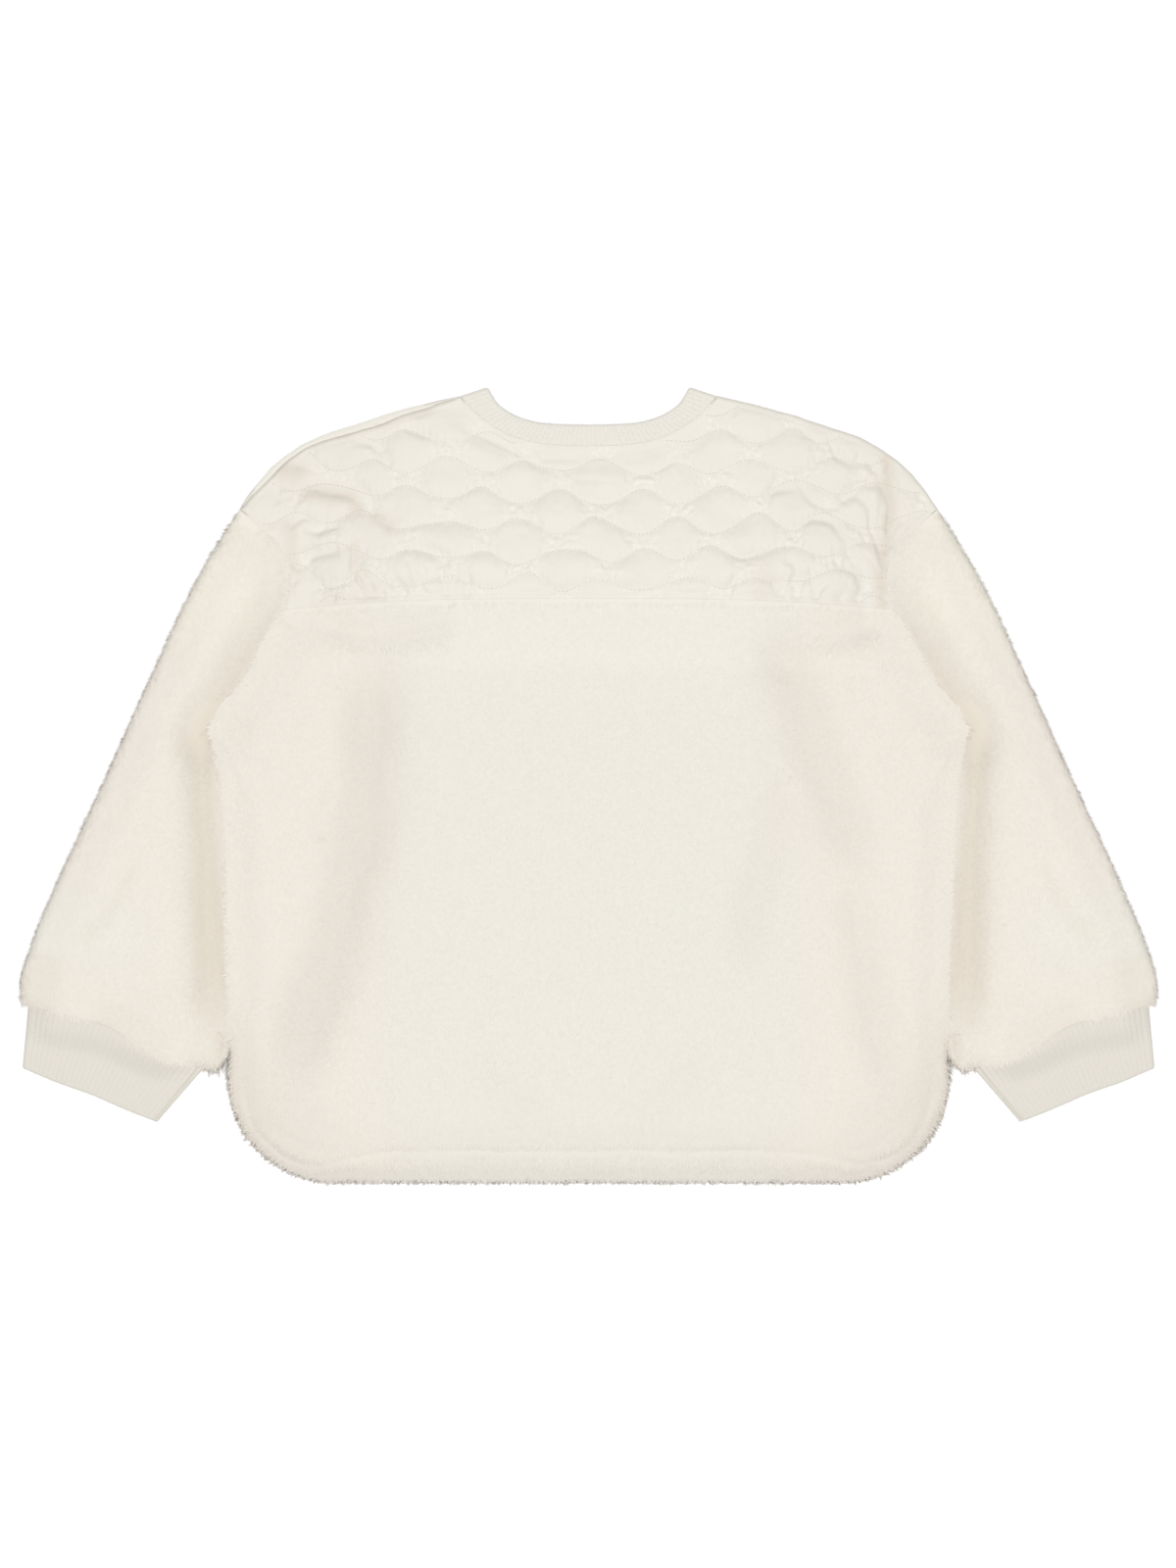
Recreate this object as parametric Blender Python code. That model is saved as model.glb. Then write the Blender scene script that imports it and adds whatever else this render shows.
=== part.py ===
"""A quilted sweatshirt, laid flat on its front with its back up.

The yoke is quilted, the body and the balloon sleeves are pile fleece, and the neck and wrists are
rib knit. X runs across the back, Y up to the neck, and Z up from the surface that it lies on.
Every size is in metres. A table holds the right-hand half, and the left-hand half mirrors it.
"""

import bmesh
import bpy
import numpy as np
from mathutils import Vector
from mathutils.geometry import delaunay_2d_cdt

# Cloth
PILE_WALL = 0.0060  # knit backing and pile
SEAM_WALL = 0.0030  # pile fleece where a seam holds it flat
YOKE_WALL = 0.0024  # quilted cloth along its stitches
RIB_WALL = 0.0022
LAYER_GAP = 0.0006  # between the front and the back
SEAM_GAP = 0.0003  # between two pieces that are sewn together
SEAM_REACH = 0.020  # how far from a seam the pile stands up in full
CUFF_SEAM_REACH = 0.012
BODY_PUFF = 0.0026  # how far the back of the body stands off its front
SLEEVE_PUFF = 0.0028
YOKE_PUFF = 0.0018
PUFF_REACH = 0.030  # how far from an edge the puff is whole
PILE_ROLL = 0.0085  # the rounding of a pile fleece edge, seen from above
YOKE_ROLL = 0.0035
LIP = 0.0016  # what is left of a wall at its rounded edge
SHARP_ANGLE = 0.9  # faces that meet at more than this are shaded with an edge between them

# Quilting
QUILT_PERIOD = 0.0569  # from one wave of a stitch line to the next
QUILT_PITCH = 0.0216  # from one stitch line to the next
QUILT_WAVE = 0.0047  # half the height of a wave
QUILT_RISE = 0.0044
QUILT_TOP_Y = 0.2765  # the highest stitch line
QUILT_LINES = 8
QUILT_PHASE_X = -0.0190  # where that line is lowest
QUILT_LIFT = 0.0065  # how much higher the lines are at the armholes
QUILT_FADE = 0.007  # how far from an edge the wadding stands up in full
QUILT_FULLNESS = 0.6  # the lower, the steeper the wadding rises beside a stitch line
QUILT_CROWDING = 1.2  # how much less it rises where two lines come close
QUILT_COLUMNS = 10  # points along one wave
QUILT_ROWS = (0.0, 0.3, 0.7)  # rows of points from one stitch line to the next
QUILT_ROOM = 0.0022  # and how near to an edge they may be
GATHER_PITCH = 0.0114
GATHER_RISE = 0.0013
GATHER_LENGTH = 0.024
GATHER_FROM_X = 0.080
GATHER_TO_X = 0.205
GATHER_FADE = 0.025

# Yoke seam, hem, ribs
YOKE_SEAM_Y = 0.1368
YOKE_SEAM_DROP = 0.0085
HALF_YOKE = 0.2245
SEAM_LIFT = 0.0010  # how much further the layers stand apart along the yoke seam
SEAM_LIFT_X = 0.150  # where that begins to fade towards the armhole
HEM_Y = -0.2925
HEM_CORNER = 0.078
HEM_WIDTH = 0.0230
HEM_GROOVE = 0.0011
HEM_GROOVE_HALF = 0.0035
NECK_RIBS = 54
FRONT_NECK_PARTS = 24  # stretches of the band under the garment, where its ribs are left out
CUFF_RIBS = 31
RIB_RISE = 0.0006
STRIP_WIDTH = 0.0045  # of the front yoke, which comes over the left shoulder

# Outlines, as x and y
SHOULDER = (
    (0.0945, 0.2858), (0.130, 0.2775), (0.167, 0.2660), (0.200, 0.2545),
    (0.221, 0.2430), (0.236, 0.2300), (0.247, 0.2170), (0.2565, 0.2025),
)
ARMHOLE = (
    (0.2565, 0.2025), (0.241, 0.1890), (0.226, 0.1735), (0.2205, 0.1530), (0.2245, 0.1285),
    (0.2345, 0.1130), (0.248, 0.0870), (0.258, 0.0715), (0.270, 0.0590), (0.2775, 0.0430),
)
BODY_SIDE = (
    (0.2775, 0.0430), (0.2715, 0.0220), (0.2675, -0.0140), (0.265, -0.0700),
    (0.2632, -0.1400), (0.2628, -0.1900), (0.264, -0.2140),
)
SLEEVE_OUTER = (
    (0.2565, 0.2025), (0.283, 0.1590), (0.3245, 0.0725), (0.3568, 0.0005),
    (0.390, -0.0713), (0.409, -0.1170), (0.4172, -0.1450), (0.4174, -0.1605),
)
SLEEVE_CORNER = ((0.2665, -0.2025), (0.2745, -0.2092), (0.2833, -0.2083))
CUFF_SEAM = (
    (0.4174, -0.1605), (0.3965, -0.1656), (0.377, -0.1700), (0.352, -0.1775),
    (0.329, -0.1920), (0.306, -0.2030), (0.2833, -0.2083),
)
CUFF_START = (0.4118, -0.1622)  # the cuff is narrower than the sleeve gathered into it
CUFF_HEM = (
    (0.4160, -0.2080), (0.392, -0.2182), (0.366, -0.2275), (0.3405, -0.2385), (0.3172, -0.2477),
)
SLEEVE_LEFT_Y = -0.186  # where the sleeve leaves the side of the body

# Neckband: its free edge and its seam, on the back and on the front
NECK_COLUMNS = ("edge_x", "edge_y", "seam_x", "seam_y")
BACK_NECK = (
    (0.0000, 0.2647, 0.0000, 0.2492),
    (0.0200, 0.2651, 0.0222, 0.2495),
    (0.0400, 0.2670, 0.0432, 0.2522),
    (0.0540, 0.2716, 0.0625, 0.2590),
    (0.0668, 0.2803, 0.0800, 0.2706),
    (0.0743, 0.2925, 0.0945, 0.2858),
)
FRONT_NECK = (
    (0.0000, 0.2165, 0.0000, 0.2005),
    (0.0190, 0.2178, 0.0225, 0.2020),
    (0.0420, 0.2260, 0.0510, 0.2125),
    (0.0600, 0.2440, 0.0725, 0.2345),
    (0.0705, 0.2680, 0.0860, 0.2625),
    (0.0743, 0.2925, 0.0945, 0.2858),
)

# Soft folds, as a path of x and y, the half-width and the depth. They lie unlike on the two sides.
BODY_FOLDS = (
    (((-0.152, 0.083), (-0.157, 0.044), (-0.160, -0.006), (-0.168, -0.071)), 0.017, 0.0036),
    (((-0.168, -0.071), (-0.190, -0.137), (-0.212, -0.187), (-0.218, -0.220)), 0.018, 0.0030),
    (((-0.168, 0.027), (-0.190, -0.011)), 0.013, 0.0016),
    (((0.102, 0.110), (0.146, 0.072), (0.152, 0.017)), 0.015, 0.0032),
    (((0.152, 0.017), (0.135, -0.027), (0.124, -0.083), (0.118, -0.132)), 0.017, 0.0024),
    (((0.152, 0.011), (0.174, -0.017), (0.195, -0.050)), 0.013, 0.0030),
    (((0.174, -0.055), (0.190, -0.116), (0.207, -0.176)), 0.016, 0.0028),
)
SLEEVE_FOLDS = (
    (((0.300, 0.040), (0.290, -0.027), (0.2835, -0.083), (0.2755, -0.137)), 0.010, 0.0036),
    (((0.2755, -0.137), (0.270, -0.172)), 0.008, 0.0024),
    (((0.330, -0.040), (0.345, -0.085), (0.372, -0.112)), 0.014, 0.0012),
)

# Spacing of the points
FINE_STEP = 0.0005
EDGE_STEP = 0.009
NECK_STEP = 0.004
FOLD_STEP = 0.015  # along the folds of a cuff
BACK_STEP = 0.018
SLEEVE_STEP = 0.019
PLAIN_STEP = 0.030
SPARSE_STEP = 0.060
CORNER_PARTS = 12
LATTICE_ROOM = 0.45  # how near a lattice may come to the rows before it, in its own steps
TOP_ROWS = (0.12, 0.42, 1.0)  # rows of points in a rounded edge, in roundings
UNDER_ROWS = (0.3, 1.0)
ROLL_ROOM = 0.09  # how near the points of those rows may be, in roundings
HOLLOW_ROW = 0.004  # how far a row of points inside a tube is from its folds
SEAM_ROW = 0.009  # how far a row of points is from a seam
CUFF_SEAM_ROWS = (0.0025, 0.007)
HEM_ROWS = (-1.5, 0.0, 1.5)  # rows of points across the hem's groove, in its half-widths
NARROW_ROOM = 0.003  # how near the points of rows like these may be
EDGE_ROOM = 0.0024  # how near a point may be to its outline, unless its row is closer set

# Colours, as the base colour and the roughness
PILE_COLOUR = ((0.84, 0.80, 0.71), 0.95)
YOKE_COLOUR = ((0.86, 0.82, 0.74), 0.75)
RIB_COLOUR = ((0.82, 0.79, 0.70), 0.85)


# Lines and points, seen from above

def even_count(line, count):
    """The line with count equal stretches."""
    lengths = np.linalg.norm(np.diff(line, axis=0), axis=1)
    along = np.concatenate([[0.0], np.cumsum(lengths)])
    places = np.linspace(0.0, along[-1], count + 1)
    return np.stack([np.interp(places, along, column) for column in line.T], axis=1)


def evenly(line, step):
    """The line again, with its points about step apart."""
    length = np.linalg.norm(np.diff(line, axis=0), axis=1).sum()
    return even_count(line, max(1, round(length / step)))


def smooth(rows, step):
    """Points about step apart on a smooth curve through the rows of a table."""
    rows = np.array(rows, float)
    lengths = np.linalg.norm(np.diff(rows[:, :2], axis=0), axis=1)
    knots = np.concatenate([[0.0], np.cumsum(lengths)])
    slopes = np.gradient(rows, knots, axis=0)
    places = np.linspace(0.0, knots[-1], round(knots[-1] / FINE_STEP) + 1)
    i = np.clip(np.searchsorted(knots, places, side="right") - 1, 0, len(knots) - 2)
    span = (knots[i + 1] - knots[i])[:, None]
    t = (places - knots[i])[:, None] / span
    curve = (
        (1 + 2 * t) * (1 - t) ** 2 * rows[i]
        + t * (1 - t) ** 2 * span * slopes[i]
        + t**2 * (3 - 2 * t) * rows[i + 1]
        + t**2 * (t - 1) * span * slopes[i + 1]
    )
    return evenly(curve, step)


def mirrored(line):
    """The same line on the left-hand side, still in its own order."""
    return line * (-1.0, 1.0)


def moved(line, amount):
    """The line moved to its left by amount, a number or one for each point."""
    ahead = np.gradient(line, axis=0)
    ahead /= np.linalg.norm(ahead, axis=1, keepdims=True)
    left = np.stack([-ahead[:, 1], ahead[:, 0]], axis=1)
    return line + left * np.reshape(amount, (-1, 1))


def distance(points, line):
    """How far each point is from the line."""
    a, b = line[:-1], line[1:]
    ahead = b - a
    away = points[:, None] - a
    t = np.clip((away * ahead).sum(-1) / (ahead * ahead).sum(-1), 0.0, 1.0)
    return np.linalg.norm(away - t[..., None] * ahead, axis=-1).min(axis=1)


def inside(points, outline):
    """Which of the points lie inside the closed outline."""
    x, y = points[:, :1], points[:, 1:]
    ax, ay = outline.T
    bx, by = np.roll(outline, -1, axis=0).T
    rise = np.where(by == ay, 1.0, by - ay)
    crossed = ((ay > y) != (by > y)) & (x < (bx - ax) * (y - ay) / rise + ax)
    return crossed.sum(axis=1) % 2 == 1


def lattice(outline, step):
    """Rows of points a step apart over the outline's box, each row half a step along.

    They come with the room that they leave round the points before them.
    """
    low, high = outline.min(axis=0), outline.max(axis=0)
    row_step = step * np.sqrt(0.75)
    rows = []
    for row, y in enumerate(np.arange(low[1], high[1], row_step)):
        x = np.arange(low[0] + step / 2 * (row % 2), high[0], step)
        rows.append(np.stack([x, np.full(len(x), y)], axis=1))
    return np.concatenate(rows), step * LATTICE_ROOM


def within(outline, groups):
    """The points of groups of (points, room) that lie inside the outline.

    A point is left out when it is nearer than its room to the outline or to a point before it.
    """
    ring = np.concatenate([outline, outline[:1]])
    kept = np.empty((0, 2))
    for points, room in groups:
        clear = inside(points, outline) & (distance(points, ring) > min(room * 0.6, EDGE_ROOM))
        for point in points[clear]:
            if len(kept) == 0 or np.linalg.norm(kept - point, axis=1).min() > room:
                kept = np.concatenate([kept, point[None]])
    return kept


def rolled_rows(edge, roll, side, shares):
    """Rows of points for a rounded edge, on the side of the edge that side gives."""
    rows = [moved(edge, side * roll * share) for share in shares]
    return [(row, roll * ROLL_ROOM) for row in rows]


# Heights

def eased(share):
    """From 0 to 1 with level ends."""
    share = np.clip(share, 0.0, 1.0)
    return share * share * (3 - 2 * share)


def rounded(share):
    """From 0 to 1 as a quarter of a circle rises."""
    share = np.clip(share, 0.0, 1.0)
    return np.sqrt(1 - (1 - share) ** 2)


def humped(count):
    """From 0 up to 1 in the middle and down again, in count steps, with steep ends."""
    return np.sqrt(np.sin(np.linspace(0.0, np.pi, count)))


def folds_at(points, folds):
    """How deep the soft folds are at each point."""
    depth = np.zeros(len(points))
    for path, half_width, deep in folds:
        away = distance(points, np.array(path))
        depth = np.maximum(depth, deep * np.exp(-((away / half_width) ** 2)))
    return depth


# Building a piece

class Piece:
    """The points and faces of one closed piece of cloth."""

    def __init__(self):
        self.points = []
        self.faces = []

    def skin(self, outline, points, height, creases=()):
        """Adds a surface over the outline, and returns the indices of the outline's points."""
        flat = np.concatenate([outline, points]) if len(points) else outline
        edges = [(a + len(outline), b + len(outline)) for a, b in creases]
        made = delaunay_2d_cdt(
            [Vector(p) for p in flat], edges, [list(range(len(outline)))], 1, 1e-8
        )
        faces, origins = made[2], [sources[0] for sources in made[3]]
        start = len(self.points)
        flat = flat[origins]
        self.points += [(x, y, z) for (x, y), z in zip(flat, height(flat))]
        self.faces += [[start + i for i in face] for face in faces]
        index = {origin: start + i for i, origin in enumerate(origins)}
        return [index[i] for i in range(len(outline))]

    def wall(self, upper, lower, closed=False):
        """Joins two rows of points, of the same number, with faces."""
        if closed:
            upper, lower = upper + upper[:1], lower + lower[:1]
        for i in range(len(upper) - 1):
            self.faces.append([upper[i], upper[i + 1], lower[i + 1], lower[i]])

    def made(self, name, colour):
        """The piece as a Blender object."""
        mesh = bpy.data.meshes.new(name)
        mesh.from_pydata(self.points, [], self.faces)
        work = bmesh.new()
        work.from_mesh(mesh)
        bmesh.ops.remove_doubles(work, verts=work.verts, dist=1e-7)
        bmesh.ops.triangulate(work, faces=work.faces)
        bmesh.ops.recalc_face_normals(work, faces=work.faces)
        work.to_mesh(mesh)
        work.free()
        mesh.shade_smooth()
        mesh.set_sharp_from_angle(angle=SHARP_ANGLE)
        mesh.materials.append(cloth(name, colour))
        piece = bpy.data.objects.new(name, mesh)
        bpy.context.scene.collection.objects.link(piece)
        return piece


def cloth(name, colour):
    material = bpy.data.materials.new(name + "_cloth")
    material.use_nodes = True
    shader = material.node_tree.nodes["Principled BSDF"]
    shader.inputs["Base Color"].default_value = (*colour[0], 1.0)
    shader.inputs["Roughness"].default_value = colour[1]
    shader.inputs["Metallic"].default_value = 0.0
    return material


def panel(name, colour, outline, top, bottom, top_points, bottom_points, creases=()):
    """A flat panel: two surfaces over one outline, with a wall round them."""
    piece = Piece()
    upper = piece.skin(outline, top_points, top, creases)
    lower = piece.skin(outline, bottom_points, bottom)
    piece.wall(upper, lower, closed=True)
    return piece.made(name, colour)


def ring(start_end, inner_fold, last_end, outer_fold):
    """The outline of a tube laid flat, from two open ends and two folds.

    Both ends run from the outer fold to the inner one, and both folds from the first end on.
    """
    return np.concatenate([start_end, inner_fold[1:-1], last_end[::-1], outer_fold[-2:0:-1]])


def tube(name, colour, outside, hollow, heights, points):
    """A tube laid flat. outside and hollow are (start end, inner fold, last end, outer fold).

    heights holds the outer top and bottom and the inner top and bottom, and points the points of
    each. On a fold, the top and the bottom of a surface are at the same height.
    """
    piece = Piece()
    edges = []
    for lines, height, inner in zip((outside, outside, hollow, hollow), heights, points):
        found = piece.skin(ring(*lines), inner, height)
        first, last = len(lines[0]), len(lines[2])
        skip = first + len(lines[1]) - 2
        edges.append((found[:first], found[skip : skip + last]))
    for outer, inner in ((0, 2), (1, 3)):
        for end in (0, 1):
            piece.wall(edges[outer][end], edges[inner][end])
    return piece.made(name, colour)


# The lines that the pieces share, on the right-hand side

def yoke_seam_y(x):
    return YOKE_SEAM_Y - YOKE_SEAM_DROP * np.abs(x / HALF_YOKE) ** 3


def armhole_parts():
    """The armhole down to the yoke seam, and from there to the underarm."""
    line = smooth(ARMHOLE, EDGE_STEP)
    split = int(np.abs(line[:, 1] - yoke_seam_y(line[:, 0])).argmin())
    line[split, 1] = yoke_seam_y(line[split, 0])
    return line[: split + 1], line[split:]


def body_edge():
    """The body's side, its round corner and its hem as far as the middle."""
    side = smooth(BODY_SIDE, EDGE_STEP)
    corner_x = side[-1, 0] - HEM_CORNER
    turns = np.linspace(0.0, np.pi / 2, CORNER_PARTS + 1)[1:]
    corner = np.stack(
        [corner_x + HEM_CORNER * np.cos(turns), HEM_Y + HEM_CORNER * (1 - np.sin(turns))], axis=1
    )
    hem = evenly(np.array([corner[-1], (0.0, HEM_Y)]), EDGE_STEP * 2)
    return side, corner, hem


def neck_line(table, columns, step):
    """One edge of the neckband from the left to the right, as x and y."""
    start = NECK_COLUMNS.index(columns)
    half = np.array(table)[:, start : start + 2]
    both = np.concatenate([mirrored(half[:0:-1]), half])
    return smooth(both, step)


def whole(half):
    """A closed outline from its right-hand half, which runs from the middle to the middle."""
    return np.concatenate([half, mirrored(half[-2:0:-1])])


# Yokes

def yoke_outline(neck, strip):
    """A yoke's outline. strip is how far its left shoulder is set back."""
    shoulder = smooth(SHOULDER, EDGE_STEP)
    upper, _ = armhole_parts()
    seam_x = evenly(np.array([(upper[-1, 0], 0.0), (-upper[-1, 0], 0.0)]), EDGE_STEP)[:, 0]
    seam = np.stack([seam_x, yoke_seam_y(seam_x) + SEAM_GAP / 2], axis=1)
    left = moved(mirrored(shoulder), strip * humped(len(shoulder)))
    return np.concatenate([
        shoulder[1:-1], upper[:-1], seam, mirrored(upper)[-2::-1], left[-2:0:-1], neck,
    ])


def quilt_line(number, x):
    """The y of one wavy stitch line. Each line is half a wave along from the one above it."""
    phase = QUILT_PHASE_X + QUILT_PERIOD / 2 * (number % 2)
    wave = QUILT_WAVE * np.cos(2 * np.pi * (x - phase) / QUILT_PERIOD)
    lift = QUILT_LIFT * (x / HALF_YOKE) ** 2
    return QUILT_TOP_Y - QUILT_PITCH * number - wave + lift


def quilt_relief(points):
    """How far the wadding stands up between the stitch lines."""
    x, y = points.T
    relief = np.zeros(len(points))
    for number in range(-1, QUILT_LINES):
        high, low = quilt_line(number, x), quilt_line(number + 1, x)
        across = np.clip((y - low) / (high - low), 0.0, 1.0)
        room = (high - low) / (QUILT_PITCH + 2 * QUILT_WAVE)
        pillow = (4 * across * (1 - across)) ** QUILT_FULLNESS
        relief = np.maximum(relief, QUILT_RISE * room**QUILT_CROWDING * pillow)
    return relief


def gather_relief(points):
    """Short upright gathers, where the yoke is fuller than the body that it is sewn to."""
    x, y = points.T
    near = 1 - eased((y - yoke_seam_y(x)) / GATHER_LENGTH)
    full = eased((np.abs(x) - GATHER_FROM_X) / GATHER_FADE)
    full *= eased((GATHER_TO_X - np.abs(x)) / GATHER_FADE)
    return GATHER_RISE * near * full * np.cos(2 * np.pi * x / GATHER_PITCH)


def quilt_points(outline):
    """Points along the stitch lines and between them, and the edges that follow the stitches."""
    end = np.abs(outline[:, 0]).max()
    x = np.arange(-end, end, QUILT_PERIOD / QUILT_COLUMNS)
    edge = np.concatenate([outline, outline[:1]])
    points, creases, count = [], [], 0
    for number in range(QUILT_LINES):
        for share in QUILT_ROWS:
            y = quilt_line(number, x) * (1 - share) + quilt_line(number + 1, x) * share
            row = np.stack([x, y], axis=1)
            keep = inside(row, outline) & (distance(row, edge) > QUILT_ROOM)
            places = np.flatnonzero(keep)
            points.append(row[keep])
            if share == 0.0:
                together = np.flatnonzero(np.diff(places) == 1)
                creases += [(count + i, count + i + 1) for i in together]
            count += len(places)
    return np.concatenate(points), creases


def make_back_yoke():
    neck = neck_line(BACK_NECK, "seam_x", NECK_STEP)
    outline = yoke_outline(moved(neck, -SEAM_GAP), STRIP_WIDTH)
    edge = np.concatenate([outline, outline[:1]])
    shoulders = [smooth(SHOULDER, EDGE_STEP), mirrored(smooth(SHOULDER, EDGE_STEP))]

    def bottom(points):
        rise = eased(distance(points, edge) / PUFF_REACH)
        return YOKE_WALL + LAYER_GAP + YOKE_PUFF * rise + seam_lift(points)

    def top(points):
        relief = quilt_relief(points) * eased(distance(points, edge) / QUILT_FADE)
        level = bottom(points) + YOKE_WALL + relief + gather_relief(points)
        roll = np.min([distance(points, line) for line in shoulders], axis=0)
        low = bottom(points) + YOKE_WALL / 2
        return low + (level - low) * rounded(roll / YOKE_ROLL)

    points, creases = quilt_points(outline)
    plain = within(outline, [lattice(outline, PLAIN_STEP)])
    return panel("back_yoke", YOKE_COLOUR, outline, top, bottom, points, plain, creases)


def make_front_yoke():
    neck = neck_line(FRONT_NECK, "seam_x", NECK_STEP)
    outline = yoke_outline(moved(neck, -SEAM_GAP), 0.0)
    shoulder = smooth(SHOULDER, EDGE_STEP)
    left = mirrored(shoulder)
    shoulders = [shoulder, left]
    crest_at = STRIP_WIDTH - 2 * SEAM_GAP
    foot_at = STRIP_WIDTH - SEAM_GAP
    outer, crest, between, foot = (
        moved(left, away * humped(len(left)))[1:-1]
        for away in (-SEAM_GAP, crest_at, (crest_at + foot_at) / 2, foot_at)
    )
    strip = np.concatenate([outer, between[::-1]])

    def top(points):
        return np.where(inside(points, strip), 2 * YOKE_WALL + LAYER_GAP, YOKE_WALL)

    def bottom(points):
        roll = np.min([distance(points, line) for line in shoulders], axis=0)
        return (YOKE_WALL / 2) * (1 - rounded(roll / YOKE_ROLL))

    rows = [(crest, 0.0), (foot, 0.0)]
    plain = within(outline, rows + [lattice(outline, SPARSE_STEP)])
    rolls = rolled_rows(shoulder, YOKE_ROLL, -1, UNDER_ROWS)
    rolls += rolled_rows(left, YOKE_ROLL, 1, UNDER_ROWS)
    flat = within(outline, rolls + [lattice(outline, SPARSE_STEP)])
    return panel("front_yoke", YOKE_COLOUR, outline, top, bottom, plain, flat)


# Body

def seam_lift(points):
    """How far the layers stand apart along the yoke seam, away from the armholes."""
    x, y = points.T
    near = 1 - eased(np.abs(y - yoke_seam_y(x)) / (2 * SEAM_REACH))
    fade = eased((np.abs(x) - SEAM_LIFT_X) / (HALF_YOKE - SEAM_LIFT_X))
    return SEAM_LIFT * near * (1 - fade)


class Body:
    """The lines that both panels of the body are made from."""

    def __init__(self):
        upper, lower = armhole_parts()
        side, corner, hem = body_edge()
        x = evenly(np.array([(0.0, 0.0), (lower[0, 0], 0.0)]), EDGE_STEP)[:, 0]
        seam = np.stack([x, yoke_seam_y(x) - SEAM_GAP / 2], axis=1)
        half = np.concatenate([seam, lower[1:-1], side, corner, hem[1:]])
        self.outline = whole(half)
        self.seams = [
            np.concatenate([mirrored(seam)[:0:-1], seam]), lower, mirrored(lower),
        ]
        free = np.concatenate([side, corner, hem[1:]])
        self.free = [free, mirrored(free)]
        self.hem = [np.concatenate([corner, hem[1:]]), mirrored(np.concatenate([corner, hem[1:]]))]

    def from_seams(self, points):
        return np.min([distance(points, line) for line in self.seams], axis=0)

    def from_free(self, points):
        return np.min([distance(points, line) for line in self.free], axis=0)

    def wall(self, points):
        share = eased(self.from_seams(points) / SEAM_REACH)
        return SEAM_WALL + (PILE_WALL - SEAM_WALL) * share

    def rolls(self, shares):
        right, left = self.free
        return rolled_rows(right, PILE_ROLL, -1, shares) + rolled_rows(left, PILE_ROLL, 1, shares)

    def seam_rows(self, away):
        """A row of points beside each seam."""
        return [(moved(line, side * away), away / 2) for line, side in zip(self.seams, (-1, -1, 1))]


def make_back_body(body):
    def puff(points):
        edge = np.minimum(body.from_free(points), body.from_seams(points))
        return BODY_PUFF * eased(edge / PUFF_REACH)

    def bottom(points):
        folds = np.minimum(folds_at(points, BODY_FOLDS), puff(points))
        return body.wall(points) + LAYER_GAP + puff(points) - folds + seam_lift(points)

    def top(points):
        folds = folds_at(points, BODY_FOLDS) * eased(body.from_free(points) / PUFF_REACH)
        groove = np.min([distance(points, line) for line in body.hem], axis=0) - HEM_WIDTH
        groove = HEM_GROOVE * np.exp(-((groove / HEM_GROOVE_HALF) ** 2))
        base = body.wall(points) + LAYER_GAP + seam_lift(points)
        level = base + puff(points) - folds + body.wall(points) - groove
        low = base + LIP
        return low + (level - low) * rounded(body.from_free(points) / PILE_ROLL)

    hem_rows = []
    for line, side in zip(body.hem, (-1, 1)):
        for share in HEM_ROWS:
            away = HEM_WIDTH + share * HEM_GROOVE_HALF
            row = evenly(moved(line, side * away), EDGE_STEP * 1.5)
            hem_rows.append((row, NARROW_ROOM))
    rows = body.rolls(TOP_ROWS) + hem_rows + body.seam_rows(SEAM_ROW)
    points = within(body.outline, rows + [lattice(body.outline, BACK_STEP)])
    plain = within(body.outline, [lattice(body.outline, PLAIN_STEP)])
    return panel("back_body", PILE_COLOUR, body.outline, top, bottom, points, plain)


def make_front_body(body):
    def top(points):
        return body.wall(points)

    def bottom(points):
        high = PILE_WALL - LIP
        return high * (1 - rounded(body.from_free(points) / PILE_ROLL))

    sparse = lattice(body.outline, SPARSE_STEP)
    plain = within(body.outline, body.seam_rows(SEAM_REACH / 2) + [sparse])
    flat = within(body.outline, body.rolls(UNDER_ROWS) + [sparse])
    return panel("front_body", PILE_COLOUR, body.outline, top, bottom, plain, flat)


# Sleeves and cuffs

def sleeve_lines():
    """A sleeve's armhole, inner fold, cuff seam and outer fold, clear of the body."""
    upper, lower = armhole_parts()
    armhole = moved(np.concatenate([upper, lower[1:]]), SEAM_GAP)
    side, _, _ = body_edge()
    beside = moved(side, SEAM_GAP)
    beside = beside[beside[:, 1] > SLEEVE_LEFT_Y]
    corner = smooth(np.concatenate([beside[-2:], SLEEVE_CORNER]), EDGE_STEP)[1:]
    inner = np.concatenate([armhole[-1:], beside[1:-1], corner])
    seam = smooth(CUFF_SEAM, EDGE_STEP)
    outer = smooth(SLEEVE_OUTER, EDGE_STEP * 1.5)
    outer[0] = armhole[0]
    inner[-1], outer[-1] = seam[-1], seam[0]
    return armhole, inner, seam, outer


def hollow_lines(lines, wall):
    """The same lines for the space inside: the folds set in by the wall."""
    start, inner, last, outer = (line.copy() for line in lines)
    inner_in = moved(inner, wall(inner))
    outer_in = moved(outer, -wall(outer))
    for end, i in ((start, 0), (last, -1)):
        outer_in[i] = set_in(end[0], end[1], wall(end[:1])[0])
        inner_in[i] = set_in(end[-1], end[-2], wall(end[-1:])[0])
        end[0], end[-1] = outer_in[i], inner_in[i]
    return start, inner_in, last, outer_in


def set_in(point, following, amount):
    """The point moved by amount towards the one that follows it, but not past half-way."""
    ahead = following - point
    return point + ahead * min(amount / np.linalg.norm(ahead), 0.5)


def from_folds(points, lines):
    """How far each point is from the nearer fold of a tube."""
    return np.minimum(distance(points, lines[1]), distance(points, lines[3]))


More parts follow.
